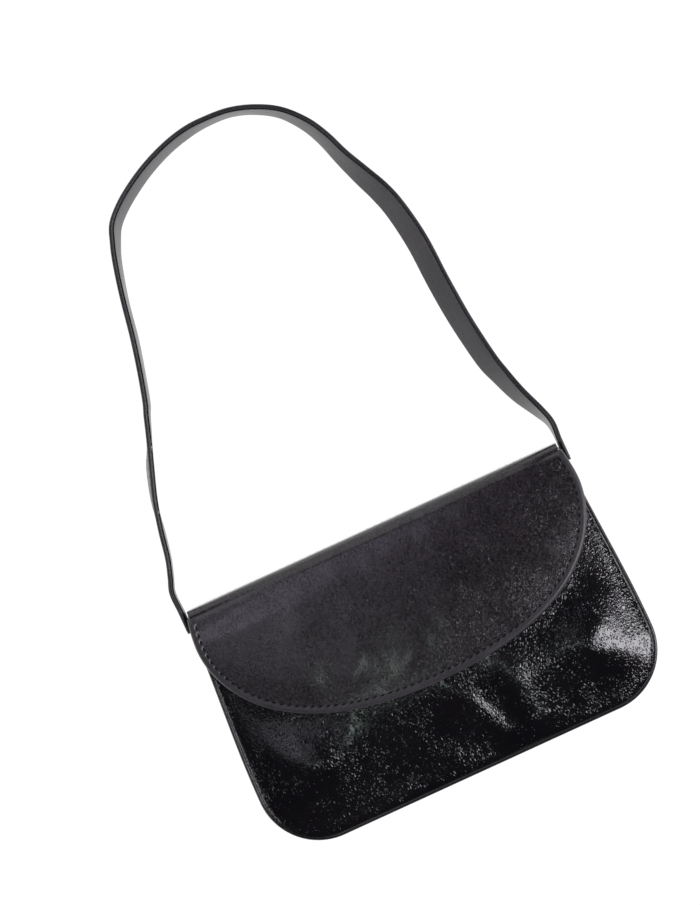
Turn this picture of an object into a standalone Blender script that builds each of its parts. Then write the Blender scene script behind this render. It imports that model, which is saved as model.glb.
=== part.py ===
"""Mini shoulder bag with a front flap, modelled lying on its back.

X runs across the bag, Y towards its mouth and strap, Z out of its front.
The origin is the middle of the back face. Lengths are in metres.
"""
import math

import bmesh
import bpy
from mathutils import Matrix, Vector

# Clearances
SEAM_GAP = 0.0003            # between pieces that are sewn or lie together
FLAP_CLEARANCE = 0.0005      # under the closed flap's edge

# Body
BODY_WIDTH = 0.250           # at its widest, low on the sides
BODY_HEIGHT = 0.156
BODY_DEPTH = 0.0297          # from the back face to the top of the front piping
TOP_TAPER = 0.0053           # how far each side draws in towards the mouth
CORNER_RADIUS = 0.037
CROWN_HEIGHT = 0.007         # how far the front swells in its middle
CROWN_POWER = 2.5
LEATHER = 0.0013
LINING = 0.0005
PIPING_DIAMETER = 0.0032
GUSSET_INSET = 0.0006        # the side band sits inside the piping
BOARD = 0.0008
BACK_BOARD_INSET = 0.007
BASE_BOARD_MARGIN = 0.0015   # between the base board and the piping
FRONT_MOUTH_DROP = 0.0075    # the front panel ends this far below the top
BACK_MOUTH_DROP = 0.001
PIPING_END_DROP = 0.0085
FACING_WIDTH = 0.014
FACING = 0.0008

# Inside pocket
POCKET_WIDTH = 0.130
POCKET_HEIGHT = 0.085
POCKET_TOP_DROP = 0.030
POCKET_THICKNESS = 0.0006
POCKET_RADIUS = 0.010

# Strip over the mouth
BRIDGE_SIDE_STEP = 0.0012    # the flap's crease is this much wider on each side
BRIDGE_LEATHER = 0.0011
BRIDGE_LINING = 0.0006
BRIDGE_FOOT = 0.0022         # height of the seam that it turns about
BRIDGE_LEAN = 0.0039         # how far it leans in over the mouth
BRIDGE_OVERHANG = 0.0003     # the strip's outer face past the body's top

# Flap
FLAP_SIDE_MARGIN = 0.0034    # from the flap's widest place to the body's widest
FLAP_NARROWING = 0.0017      # how far each side draws in towards the crease
FLAP_REACH = 0.0926          # from the crease to the tip
FLAP_SHOULDER = 0.0194       # from the crease to the widest place
FLAP_TIP_SHARE = 0.52        # flatness of the curve at the tip, of half the width
FLAP_TIP_RISE = 0.0005
FLAP_SIDE_SHARE = 0.70       # straightness at the sides, of the height below the shoulder
FLAP_LEATHER = 0.0008
FLAP_LINING = 0.0005
FLAP_BOARD = 0.0005
FLAP_BOARD_MARGIN = 0.004    # between the binding and the stiffener
BAND_WIDTH = 0.0042
BAND_WALL = 0.0004
BAND_EDGE = 0.0008           # wall of the binding at the flap's rim
BAND_ROUND = 0.0012
BAND_SLACK = 0.00025         # room inside the binding, above and below
CREASE_GAP = 0.0002

# Magnetic snap
SNAP_DROP = 0.064            # from the top of the bag to the snap
SNAP_DIMPLE = 0.0025         # the front is pressed in under the snap
SNAP_DIMPLE_RADIUS = 0.018
SNAP_DIMPLE_POWER = 4
SOCKET_RADIUS = 0.008
SOCKET_HEIGHT = 0.0017
SOCKET_WELL_RADIUS = 0.0034
SOCKET_WELL_DEPTH = 0.0012
STUD_RADIUS = 0.0075
STUD_PLATE = 0.0008
STUD_NUB_RADIUS = 0.0028
STUD_NUB_HEIGHT = 0.0009
POST_RADIUS = 0.0015
WASHER_RADIUS = 0.007
WASHER = 0.0005
SNAP_CHAMFER = 0.0003

# Strap
STRAP_WIDTH = 0.018
STRAP_LEATHER = 0.001
STRAP_LINING_WIDTH = 0.017
STRAP_FILLER = 0.0004
STRAP_FILLER_WIDTH = 0.013
STRAP_REACH = 0.2546         # from the sewn ends to the top of the loop
STRAP_END_LENGTH = 0.0137    # sewn length on the side band
STRAP_END_RISE = 0.00085     # how far the sewn ends pass the body's top
STRAP_END_RADIUS = 0.003
STRAP_END_HEIGHT = 0.008     # height of the sewn end's lower edge
STRAP_DROP_LENGTH = 0.024    # in which the strap comes down to the floor

# Each station of the strap: across as a share of the sewn ends' distance from
# the middle, along as a share of the reach, and the outward lean in degrees.
STRAP_STATION_SHARES = (
    (1.000, 0.000, 0), (0.998, 0.041, 6), (0.970, 0.077, 14), (0.915, 0.132, 24),
    (0.875, 0.187, 31), (0.844, 0.238, 37), (0.811, 0.339, 40), (0.792, 0.435, 42),
    (0.779, 0.545, 42), (0.750, 0.632, 40), (0.716, 0.686, 38), (0.669, 0.738, 33),
    (0.619, 0.795, 24), (0.575, 0.853, 19), (0.522, 0.901, 15), (0.438, 0.947, 10),
    (0.331, 0.978, 7), (0.215, 0.996, 6), (0.093, 1.000, 8), (-0.013, 0.996, 12),
    (-0.131, 0.982, 13), (-0.255, 0.958, 14), (-0.357, 0.931, 15), (-0.447, 0.901, 15),
    (-0.515, 0.869, 14), (-0.552, 0.832, 10), (-0.578, 0.798, 7), (-0.605, 0.749, 5),
    (-0.631, 0.692, 4), (-0.669, 0.594, 4), (-0.730, 0.478, 3), (-0.760, 0.440, 1),
    (-0.809, 0.376, -3), (-0.852, 0.327, -9), (-0.899, 0.256, -6), (-0.925, 0.193, 0),
    (-0.952, 0.125, 0), (-0.980, 0.081, 0), (-1.003, 0.046, 0), (-1.000, 0.000, 0),
)

# Shading, in degrees: edges sharper than this stay sharp
SHARP_EDGE = 40

# Counts
SIDE_STEPS = 7
CORNER_STEPS = 6
BOTTOM_STEPS = 3
MOUTH_STEPS = 10
FLAP_SHOULDER_STEPS = 3
FLAP_CURVE_STEPS = 13
STRAP_SUBSTEPS = 2
ROUND_STEPS = 24
PIPING_ROUND_STEPS = 2
POCKET_CORNER_STEPS = 4
FRONT_RING_SHARES = (1.0, 0.86, 0.64, 0.42, 0.27, 0.17, 0.1, 0.05)
FLAP_RING_SHARES = (1.0, 0.84, 0.6, 0.34, 0.12)
BOARD_RING_SHARES = (1.0, 0.84, 0.6, 0.34)

# Places worked out from the sizes above
TOP = BODY_HEIGHT / 2
PIPING_RADIUS = PIPING_DIAMETER / 2
PANEL_INSET = PIPING_DIAMETER + SEAM_GAP
FRONT_RIM = BODY_DEPTH - PIPING_RADIUS + LEATHER + SEAM_GAP / 2
FLAP_WIDTH = BODY_WIDTH - 2 * FLAP_SIDE_MARGIN
FLAP_CREASE_WIDTH = FLAP_WIDTH - 2 * FLAP_NARROWING
BRIDGE_WIDTH = FLAP_CREASE_WIDTH - 2 * BRIDGE_SIDE_STEP
GUSSET_LOW = PIPING_DIAMETER + SEAM_GAP
GUSSET_HIGH = BODY_DEPTH - PIPING_DIAMETER - SEAM_GAP
CREASE_Z = FRONT_RIM + FLAP_CLEARANCE
BRIDGE_THICKNESS = BRIDGE_LEATHER + SEAM_GAP + BRIDGE_LINING
BRIDGE_FOOT_Y = TOP + BRIDGE_OVERHANG - BRIDGE_THICKNESS / 2
CREASE_Y = BRIDGE_FOOT_Y - BRIDGE_LEAN
CROWN_MIDDLE = (CREASE_Y - TOP) / 2
CROWN_REACH = (CREASE_Y + TOP) / 2
SNAP_Y = TOP - SNAP_DROP
FLAP_LINING_Z = BAND_WALL + BAND_SLACK
FLAP_BOARD_Z = FLAP_LINING_Z + FLAP_LINING + SEAM_GAP
FLAP_PANEL_Z = FLAP_BOARD_Z + FLAP_BOARD + SEAM_GAP
BAND_HEIGHT = FLAP_PANEL_Z + FLAP_LEATHER + BAND_SLACK + BAND_WALL
FLAP_LAYER_INSET = BAND_EDGE + SEAM_GAP
FLAP_BOARD_INSET = BAND_WIDTH + FLAP_BOARD_MARGIN
POST_HOLE_RADIUS = POST_RADIUS + SEAM_GAP
BOARD_HOLE_RADIUS = WASHER_RADIUS + 2 * SEAM_GAP
FRONT_LINING_DROP = LEATHER + SEAM_GAP + FACING + SEAM_GAP
STRAP_THICKNESS = 2 * STRAP_LEATHER + STRAP_FILLER + 2 * SEAM_GAP
STRAP_HINGE_Y = TOP + STRAP_END_RISE + SEAM_GAP / 2
STRAP_HINGE_Z = STRAP_END_HEIGHT + STRAP_WIDTH


def half_width(y):
    """Half the body's width at a height on its straight side."""
    down = (TOP - y) / (BODY_HEIGHT - CORNER_RADIUS)
    down = min(max(down, 0), 1)
    return BODY_WIDTH / 2 - TOP_TAPER * (1 + math.cos(math.pi * down)) / 2


STRAP_INNER = half_width(TOP - STRAP_END_LENGTH) - GUSSET_INSET + SEAM_GAP
STRAP_MIDDLE = STRAP_INNER + STRAP_THICKNESS / 2


def crown(x, y):
    """How far the front and the flap swell above their rim at a point."""
    across = min(abs(x) / (BODY_WIDTH / 2), 1)
    along = min(abs(y - CROWN_MIDDLE) / CROWN_REACH, 1)
    return CROWN_HEIGHT * (1 - across ** CROWN_POWER) * (1 - along ** CROWN_POWER)


def pressed_crown(x, y):
    """The front's swelling with the dimple that the snap presses into it."""
    away = math.hypot(x, y - SNAP_Y) / SNAP_DIMPLE_RADIUS
    return crown(x, y) - SNAP_DIMPLE * math.exp(-away ** SNAP_DIMPLE_POWER)


def flat(x, y):
    """A surface without any swelling."""
    return 0


def crease_line(z):
    """Where the flap's layers and binding end at the crease."""
    return CREASE_Y - CREASE_GAP


def mouth_line(z):
    """Where the side band ends under the strip over the mouth, at a height."""
    rise = (z - BRIDGE_FOOT) / (CREASE_Z - BRIDGE_FOOT)
    return BRIDGE_FOOT_Y - BRIDGE_LEAN * rise - BRIDGE_THICKNESS / 2 - SEAM_GAP


def body_edge(top, inset):
    """Points down the right side, round the bottom and up the left side."""
    foot = CORNER_RADIUS - TOP
    right = []
    for i in range(SIDE_STEPS):
        y = top + (foot - top) * i / SIDE_STEPS
        right.append(Vector((half_width(y) - inset, y)))
    centre = BODY_WIDTH / 2 - CORNER_RADIUS
    radius = CORNER_RADIUS - inset
    for i in range(CORNER_STEPS + 1):
        turn = math.pi / 2 * i / CORNER_STEPS
        x = centre + radius * math.cos(turn)
        right.append(Vector((x, foot - radius * math.sin(turn))))
    for i in range(1, BOTTOM_STEPS):
        right.append(Vector((centre * (1 - i / BOTTOM_STEPS), inset - TOP)))
    left = [Vector((-point.x, point.y)) for point in reversed(right)]
    return right + [Vector((0, inset - TOP))] + left


def bottom_edge(inset):
    """Points of the flat bottom between the two corners, right to left."""
    reach = BODY_WIDTH / 2 - CORNER_RADIUS
    y = inset - TOP
    return [Vector((reach * (1 - 2 * i / MOUTH_STEPS), y)) for i in range(MOUTH_STEPS + 1)]


def flap_edge(inset):
    """Points of the flap's free edge from the right crease corner to the left."""
    right = []
    for i in range(FLAP_SHOULDER_STEPS):
        down = i / FLAP_SHOULDER_STEPS
        widening = FLAP_NARROWING * math.sin(math.pi / 2 * down)
        right.append(Vector((FLAP_CREASE_WIDTH / 2 + widening, CREASE_Y - FLAP_SHOULDER * down)))
    side = Vector((FLAP_WIDTH / 2, CREASE_Y - FLAP_SHOULDER))
    tip = Vector((0, CREASE_Y - FLAP_REACH))
    side_handle = side - Vector((0, (side.y - tip.y) * FLAP_SIDE_SHARE))
    tip_handle = tip + Vector((side.x * FLAP_TIP_SHARE, FLAP_TIP_RISE))
    for i in range(FLAP_CURVE_STEPS):
        t = i / FLAP_CURVE_STEPS
        point = side * (1 - t) ** 3 + side_handle * 3 * t * (1 - t) ** 2
        right.append(point + tip_handle * 3 * t ** 2 * (1 - t) + tip * t ** 3)
    left = [Vector((-point.x, point.y)) for point in reversed(right)]
    return drawn_in(right + [tip] + left, inset)


def drawn_in(path, inset):
    """Moves each point of an open clockwise path inwards, square to the path."""
    moved = []
    for i, point in enumerate(path):
        along = path[min(i + 1, len(path) - 1)] - path[max(i - 1, 0)]
        inwards = Vector((along.y, -along.x)).normalized()
        moved.append(point + inwards * inset)
    return moved


def closed(edge, end):
    """Closes an open edge with a straight row of points at one height."""
    ring = [point.copy() for point in edge]
    ring[0].y = end
    ring[-1].y = end
    span = ring[0] - ring[-1]
    row = [ring[-1] + span * i / MOUTH_STEPS for i in range(1, MOUTH_STEPS)]
    return ring + row


def finish(name, mesh, colour, roughness, metallic=0.0):
    """Makes an object of its own with a material of its own."""
    shade = bpy.data.materials.new(name)
    shade.use_nodes = True
    surface = shade.node_tree.nodes["Principled BSDF"]
    surface.inputs["Base Color"].default_value = (*colour, 1.0)
    surface.inputs["Roughness"].default_value = roughness
    surface.inputs["Metallic"].default_value = metallic
    mesh.materials.append(shade)
    piece = bpy.data.objects.new(name, mesh)
    bpy.context.collection.objects.link(piece)
    return piece


def loft(name, rings, look, ring_closed=False, rising=()):
    """Skins a row of closed rings; the ends are capped, or joined to each other.

    The faces of a side named in rising are parted by the diagonal that climbs
    along the path, so that layers which twist together stay clear of each other.
    """
    mesh = bmesh.new()
    rows = [[mesh.verts.new(point) for point in ring] for ring in rings]
    pairs = list(zip(rows, rows[1:]))
    if ring_closed:
        pairs.append((rows[-1], rows[0]))
    for first, second in pairs:
        count = len(first)
        for i in range(count):
            j = (i + 1) % count
            face = (first[i], first[j], second[j], second[i])
            if i in rising:
                turn = rising.index(i)
                face = face[turn:] + face[:turn]
                mesh.faces.new(face[:3])
                mesh.faces.new((face[0], *face[2:]))
            else:
                mesh.faces.new(face)
    if not ring_closed:
        mesh.faces.new(rows[0])
        mesh.faces.new(rows[-1])
    bmesh.ops.recalc_face_normals(mesh, faces=mesh.faces)
    data = bpy.data.meshes.new(name)
    mesh.to_mesh(data)
    mesh.free()
    data.shade_smooth()
    data.set_sharp_from_angle(angle=math.radians(SHARP_EDGE))
    return finish(name, data, *look)


def plate(name, outline, shares, centre, low, thickness, swell, look, hole=0.0):
    """A sheet of even thickness that follows a swelling, with or without a round hole."""
    flat_rings = []
    for share in shares:
        flat_rings.append([centre + (point - centre) * share for point in outline])
    if hole:
        flat_rings.append([centre + (point - centre).normalized() * hole for point in outline])
    lower = []
    upper = []
    for ring in flat_rings:
        heights = [low + swell(point.x, point.y) for point in ring]
        lower.append([(*point, z) for point, z in zip(ring, heights)])
        upper.append([(*point, z + thickness) for point, z in zip(ring, heights)])
    return loft(name, lower[::-1] + upper, look, ring_closed=bool(hole))


def strip(name, path, section, look, swell=flat, ends=None):
    """Sweeps a section of inset and height pairs along a path, square to it."""
    rings = []
    last = len(path) - 1
    offsets = {inset: drawn_in(path, inset) for inset, _ in section}
    for i in range(last + 1):
        ring = []
        for inset, z in section:
            point = offsets[inset][i]
            y = ends(z) if ends and i in (0, last) else point.y
            ring.append((point.x, y, z + swell(point.x, y)))
        rings.append(ring)
    return loft(name, rings, look)


def turned(name, profile, centre, look):
    """Turns a closed profile of radius and height pairs about an upright axis."""
    mesh = bmesh.new()
    points = [mesh.verts.new((centre.x + radius, centre.y, z)) for radius, z in profile]
    edges = [mesh.edges.new((a, b)) for a, b in zip(points, points[1:])]
    if profile[0][0] > 0:
        edges.append(mesh.edges.new((points[-1], points[0])))
    bmesh.ops.spin(mesh, geom=edges, cent=(centre.x, centre.y, 0), axis=(0, 0, 1),
                   angle=2 * math.pi, steps=ROUND_STEPS, use_merge=True)
    bmesh.ops.remove_doubles(mesh, verts=mesh.verts, dist=SEAM_GAP / 100)
    bmesh.ops.recalc_face_normals(mesh, faces=mesh.faces)
    data = bpy.data.meshes.new(name)
    mesh.to_mesh(data)
    mesh.free()
    data.shade_smooth()
    data.set_sharp_from_angle(angle=math.radians(SHARP_EDGE))
    return finish(name, data, *look)


def rounded_box(half_x, low_y, high_y, radius):
    """Outline of a box with four round corners, as points in order."""
    outline = []
    middles = ((half_x - radius, high_y - radius), (radius - half_x, high_y - radius),
               (radius - half_x, low_y + radius), (half_x - radius, low_y + radius))
    for quarter, (x, y) in enumerate(middles):
        for i in range(POCKET_CORNER_STEPS + 1):
            turn = math.pi / 2 * (quarter + i / POCKET_CORNER_STEPS)
            outline.append(Vector((x + radius * math.cos(turn), y + radius * math.sin(turn))))
    return outline


def slab(name, outline, low, thickness, look):
    """A flat sheet of even thickness."""
    rings = [[(*point, z) for point in outline] for z in (low, low + thickness)]
    return loft(name, rings, look)


def piping(name, path, height, look):
    """A round piped seam along a path."""
    curve = bpy.data.curves.new(name, "CURVE")
    curve.dimensions = "3D"
    curve.bevel_depth = PIPING_RADIUS
    curve.bevel_resolution = PIPING_ROUND_STEPS
    curve.use_fill_caps = True
    line = curve.splines.new("POLY")
    line.points.add(len(path) - 1)
    for knot, point in zip(line.points, path):
        knot.co = (point.x, point.y, height, 1)
    return finish(name, curve, *look)


PATENT = ((0.012, 0.010, 0.013), 0.22)
SATIN = ((0.025, 0.022, 0.026), 0.34)
SMOOTH = ((0.030, 0.027, 0.031), 0.38)
CLOTH = ((0.040, 0.036, 0.040), 0.85)
CARD = ((0.300, 0.270, 0.230), 0.90)
STEEL = ((0.550, 0.550, 0.560), 0.30, 1.0)


def build_back():
    """The back panel on the floor, its stiffener and its lining."""
    outer = closed(body_edge(TOP - BACK_MOUTH_DROP, PANEL_INSET), TOP - BACK_MOUTH_DROP)
    slab("back_panel", outer, 0, LEATHER, PATENT)
    board_low = LEATHER + SEAM_GAP
    board_top = TOP - BACK_BOARD_INSET
    board = closed(body_edge(board_top, BACK_BOARD_INSET), board_top)
    slab("back_board", board, board_low, BOARD, CARD)
    lining_low = board_low + BOARD + SEAM_GAP
    lining_top = mouth_line(lining_low) - BACK_MOUTH_DROP
    lining = closed(body_edge(lining_top, PANEL_INSET), lining_top)
    slab("back_lining", lining, lining_low, LINING, CLOTH)
    pocket_top = TOP - POCKET_TOP_DROP
    pocket = rounded_box(POCKET_WIDTH / 2, pocket_top - POCKET_HEIGHT, pocket_top, POCKET_RADIUS)
    slab("slip_pocket", pocket, lining_low + LINING + SEAM_GAP, POCKET_THICKNESS, CLOTH)


def build_gusset():
    """The band round the sides and the bottom, with its lining and base board."""
    inner = GUSSET_INSET + LEATHER
    board = inner + SEAM_GAP
    lining = board + BOARD + SEAM_GAP
    edge = body_edge(mouth_line(GUSSET_HIGH), 0)
    strip("gusset", edge, band_section(GUSSET_INSET, LEATHER), SATIN, ends=mouth_line)
    strip("gusset_lining", edge, band_section(lining, LINING), CLOTH, ends=mouth_line)
    low = GUSSET_LOW + BASE_BOARD_MARGIN
    high = GUSSET_HIGH - BASE_BOARD_MARGIN
    section = ((board, low), (board + BOARD, low), (board + BOARD, high), (board, high))
    strip("base_board", bottom_edge(0), section, CARD)


def band_section(inset, thickness):
    """The side band's section between the two pipings."""
    inner = inset + thickness
    return ((inset, GUSSET_LOW), (inner, GUSSET_LOW), (inner, GUSSET_HIGH), (inset, GUSSET_HIGH))


def build_front():
    """The crowned front panel, its facing at the mouth and its lining."""
    snap = Vector((0, SNAP_Y))
    top = TOP - FRONT_MOUTH_DROP
    outer = closed(body_edge(top, PANEL_INSET), top)
    plate("front_panel", outer, FRONT_RING_SHARES, snap, FRONT_RIM - LEATHER, LEATHER,
          pressed_crown, PATENT, hole=POST_HOLE_RADIUS)
    lining_top = top - FACING_WIDTH - SEAM_GAP
    lining = closed(body_edge(lining_top, PANEL_INSET), lining_top)
    plate("front_lining", lining, FRONT_RING_SHARES, snap, FRONT_RIM - FRONT_LINING_DROP - LINING,
          LINING, pressed_crown, CLOTH)
    high = FRONT_RIM - LEATHER - SEAM_GAP
    half = half_width(top) - PANEL_INSET - SEAM_GAP
    row = [Vector((half * (1 - 2 * i / MOUTH_STEPS), top - SEAM_GAP)) for i in range(MOUTH_STEPS + 1)]
    section = ((0, high - FACING), (-FACING_WIDTH, high - FACING), (-FACING_WIDTH, high), (0, high))
    strip("front_facing", row, section, SMOOTH, swell=crown)


def build_pipings():
    """The two piped seams."""
    edge = body_edge(TOP - PIPING_END_DROP, PIPING_RADIUS)
    piping("front_piping", edge, BODY_DEPTH - PIPING_RADIUS, SMOOTH)
    piping("back_piping", edge, PIPING_RADIUS, SMOOTH)


def build_bridge():
    """The strip over the mouth, from the back seam to the crease."""
    up = Vector((-BRIDGE_LEAN, CREASE_Z - BRIDGE_FOOT))
    out = Vector((up.y, -up.x)).normalized()
    foot = Vector((BRIDGE_FOOT_Y, BRIDGE_FOOT))
    head = foot + up * (1 - SEAM_GAP / up.length)
    outer = BRIDGE_THICKNESS / 2
    inner = -outer
    layers = (("flap_bridge", outer - BRIDGE_LEATHER, outer, SATIN),
              ("flap_bridge_lining", inner, inner + BRIDGE_LINING, CLOTH))
    pieces = []
    for name, near, far, look in layers:
        corners = (foot + out * near, foot + out * far, head + out * far, head + out * near)
        rings = []
        for x in (-BRIDGE_WIDTH / 2, BRIDGE_WIDTH / 2):
            rings.append([(x, corner.x, corner.y) for corner in corners])
        pieces.append(loft(name, rings, look))
    return pieces


def build_flap():
    """The flap: lining, stiffener, outer leather and the binding on its edge."""
    snap = Vector((0, SNAP_Y))
    end = crease_line(CREASE_Z)
    layer = closed(flap_edge(FLAP_LAYER_INSET), end)
    board = closed(flap_edge(FLAP_BOARD_INSET), end - FLAP_BOARD_MARGIN)
    inside = plate("flap_lining", layer, FLAP_RING_SHARES, snap, CREASE_Z + FLAP_LINING_Z,
                   FLAP_LINING, crown, CLOTH, hole=POST_HOLE_RADIUS)
    middle = plate("flap_board", board, BOARD_RING_SHARES, snap, CREASE_Z + FLAP_BOARD_Z,
                   FLAP_BOARD, crown, CARD, hole=BOARD_HOLE_RADIUS)
    outside = plate("flap_panel", layer, FLAP_RING_SHARES, snap, CREASE_Z + FLAP_PANEL_Z,
                    FLAP_LEATHER, crown, SATIN)
    low = CREASE_Z
    high = CREASE_Z + BAND_HEIGHT
    section = ((BAND_WIDTH, low), (BAND_ROUND, low), (0, low + BAND_ROUND),
               (0, high - BAND_ROUND), (BAND_ROUND, high), (BAND_WIDTH, high),
               (BAND_WIDTH, high - BAND_WALL), (BAND_EDGE, high - BAND_WALL),
               (BAND_EDGE, low + BAND_WALL), (BAND_WIDTH, low + BAND_WALL))
    band = strip("flap_edge_band", flap_edge(0), section, SMOOTH, swell=crown, ends=crease_line)
    return [inside, middle, outside, band]


def build_snap_socket():
    """The magnetic snap's half on the front, with its washer behind the leather."""
    centre = Vector((0, SNAP_Y))
    seat = FRONT_RIM + pressed_crown(0, SNAP_Y)
    low = seat + SEAM_GAP
    high = low + SOCKET_HEIGHT
    well = high - SOCKET_WELL_DEPTH
    washer_high = seat - LEATHER - SEAM_GAP
    washer_low = washer_high - WASHER
    socket = ((0, washer_low), (POST_RADIUS, washer_low), (POST_RADIUS, low),
              (SOCKET_RADIUS, low), (SOCKET_RADIUS, high - SNAP_CHAMFER),
              (SOCKET_RADIUS - SNAP_CHAMFER, high), (SOCKET_WELL_RADIUS, high),
              (SOCKET_WELL_RADIUS, well), (0, well))
    turned("snap_socket", socket, centre, STEEL)
    turned("snap_socket_washer", ring_profile(washer_low, washer_high), centre, STEEL)


def build_snap_stud():
    """The magnetic snap's half on the flap, with its washer inside the flap."""
    centre = Vector((0, SNAP_Y))
    roof = CREASE_Z + crown(0, SNAP_Y)
    plate_high = roof + FLAP_LINING_Z - SEAM_GAP
    plate_low = plate_high - STUD_PLATE
    tip = plate_low - STUD_NUB_HEIGHT
    board_low = roof + FLAP_BOARD_Z
    board_high = board_low + FLAP_BOARD
    profile = ((0, tip), (STUD_NUB_RADIUS - SNAP_CHAMFER, tip), (STUD_NUB_RADIUS, tip + SNAP_CHAMFER),
               (STUD_NUB_RADIUS, plate_low), (STUD_RADIUS, plate_low), (STUD_RADIUS, plate_high),
               (POST_RADIUS, plate_high), (POST_RADIUS, board_high), (0, board_high))
    stud = turned("snap_stud", profile, centre, STEEL)
    washer = turned("snap_stud_washer", ring_profile(board_low, board_high), centre, STEEL)
    return [stud, washer]


def ring_profile(low, high):
    """Closed profile of a washer round the snap's post."""
    return ((POST_HOLE_RADIUS, low), (WASHER_RADIUS, low), (WASHER_RADIUS, high),
            (POST_HOLE_RADIUS, high))


def smooth_stations():
    """The strap's stations with points between them on one smooth curve."""
    knots = []
    for across, along, lean in STRAP_STATION_SHARES:
        start = STRAP_HINGE_Y + SEAM_GAP / 2
        knots.append(Vector((STRAP_MIDDLE * across, start + STRAP_REACH * along, math.radians(lean))))
    lead_in = Vector((knots[0].x, 2 * knots[0].y - knots[1].y, knots[0].z))
    lead_out = Vector((knots[-1].x, 2 * knots[-1].y - knots[-2].y, knots[-1].z))
    row = [lead_in] + knots + [lead_out]
    smooth = []
    for a, b, c, d in zip(row, row[1:], row[2:], row[3:]):
        for i in range(STRAP_SUBSTEPS):
            t = i / STRAP_SUBSTEPS
            bend = (a * -1 + b * 3 - c * 3 + d) * t ** 3 + (a * 2 - b * 5 + c * 4 - d) * t ** 2
            smooth.append(b + ((c - a) * t + bend) / 2)
    smooth.append(knots[-1])
    return smooth


def strap_frames():
    """At each station: the section's centre, its width direction and its outward one."""
    stations = smooth_stations()
    runs = [0.0]
    for a, b in zip(stations, stations[1:]):
        runs.append(runs[-1] + (b - a).to_2d().length)
    frames = []
    last = len(stations) - 1
    for i, station in enumerate(stations):
        if i in (0, last):
            along = Vector((0, 1 if i == 0 else -1))
        else:
            along = (stations[i + 1] - stations[i - 1]).to_2d().normalized()
        outwards = Vector((along.y, -along.x, 0))
        lean = station.z
        width = outwards * math.sin(lean) + Vector((0, 0, math.cos(lean)))
        depth = outwards * math.cos(lean) - Vector((0, 0, math.sin(lean)))
        drop = min(runs[i], runs[-1] - runs[i], STRAP_DROP_LENGTH) / STRAP_DROP_LENGTH
        low = STRAP_END_HEIGHT * (1 - drop * drop * (3 - 2 * drop))
        half = STRAP_WIDTH / 2 * math.cos(lean) + STRAP_THICKNESS / 2 * abs(math.sin(lean))
        frames.append((Vector((station.x, station.y, low + half)), width, depth))
    return frames


def build_strap():
    """The strap loop in three layers that stand on their lower edge."""
    half = STRAP_THICKNESS / 2
    layers = (("strap_outer", half - STRAP_LEATHER, half, STRAP_WIDTH, SATIN),
              ("strap_filler", -STRAP_FILLER / 2, STRAP_FILLER / 2, STRAP_FILLER_WIDTH, CARD),
              ("strap_lining", -half, STRAP_LEATHER - half, STRAP_LINING_WIDTH, SMOOTH))
    frames = strap_frames()
    pieces = []
    for name, near, far, width, look in layers:
        rings = []
        for centre, up, out in frames:
            rise = up * (width / 2)
            inner = centre + out * near
            outer = centre + out * far
            rings.append([inner - rise, outer - rise, outer + rise, inner + rise])
        pieces.append(loft(name, rings, look, rising=(1, 3)))
    return pieces


def build_strap_ends():
    """The two sewn ends on the side band, with rounded lower corners."""
    low = STRAP_END_HEIGHT
    high = STRAP_END_HEIGHT + STRAP_WIDTH
    far = TOP + STRAP_END_RISE
    near = TOP - STRAP_END_LENGTH
    outline = [(far, low), (far, high)]
    for corner, start in ((high - STRAP_END_RADIUS, 0), (low + STRAP_END_RADIUS, 1)):
        for i in range(POCKET_CORNER_STEPS + 1):
            turn = math.pi / 2 * (start + i / POCKET_CORNER_STEPS)
            y = near + STRAP_END_RADIUS - STRAP_END_RADIUS * math.sin(turn)
            outline.append((y, corner + STRAP_END_RADIUS * math.cos(turn)))
    for name, side in (("strap_end_right", 1), ("strap_end_left", -1)):
        rings = []
        for x in (STRAP_INNER, STRAP_INNER + STRAP_THICKNESS):
            rings.append([(side * x, y, z) for y, z in outline])
        loft(name, rings, SATIN)


def hang(name, place, pieces):
    """Hangs pieces on an empty that lies on the axis they turn about."""
    axle = bpy.data.objects.new(name, None)
    axle.location = place
    bpy.context.collection.objects.link(axle)
    for piece in pieces:
        piece.parent = axle
        piece.matrix_parent_inverse = Matrix.Translation(place).inverted()
    return axle


def main():
    """Empties the scene and builds the bag."""
    for thing in list(bpy.data.objects):
        bpy.data.objects.remove(thing)
    build_back()
    build_gusset()
    build_front()
    build_pipings()
    build_snap_socket()
    build_strap_ends()
    flap = hang("flap_hinge", (0, CREASE_Y, CREASE_Z), build_flap() + build_snap_stud())
    hang("mouth_hinge", (0, BRIDGE_FOOT_Y, BRIDGE_FOOT), build_bridge() + [flap])
    hang("strap_fold", (0, STRAP_HINGE_Y, STRAP_HINGE_Z), build_strap())


main()
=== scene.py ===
# %% [markdown]
# # A small shoulder bag of glossy black leather
# The bag lies on its back and is seen from straight above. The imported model
# gives every place and size, and this lesson sews the soft leather round it:
# crinkled panels, piped seams, a bound and stitched flap, and a flat strap.

import math
from bisect import bisect_right

import bmesh
import bpy
from mathutils import Matrix, Vector, noise
from mathutils.kdtree import KDTree


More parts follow.
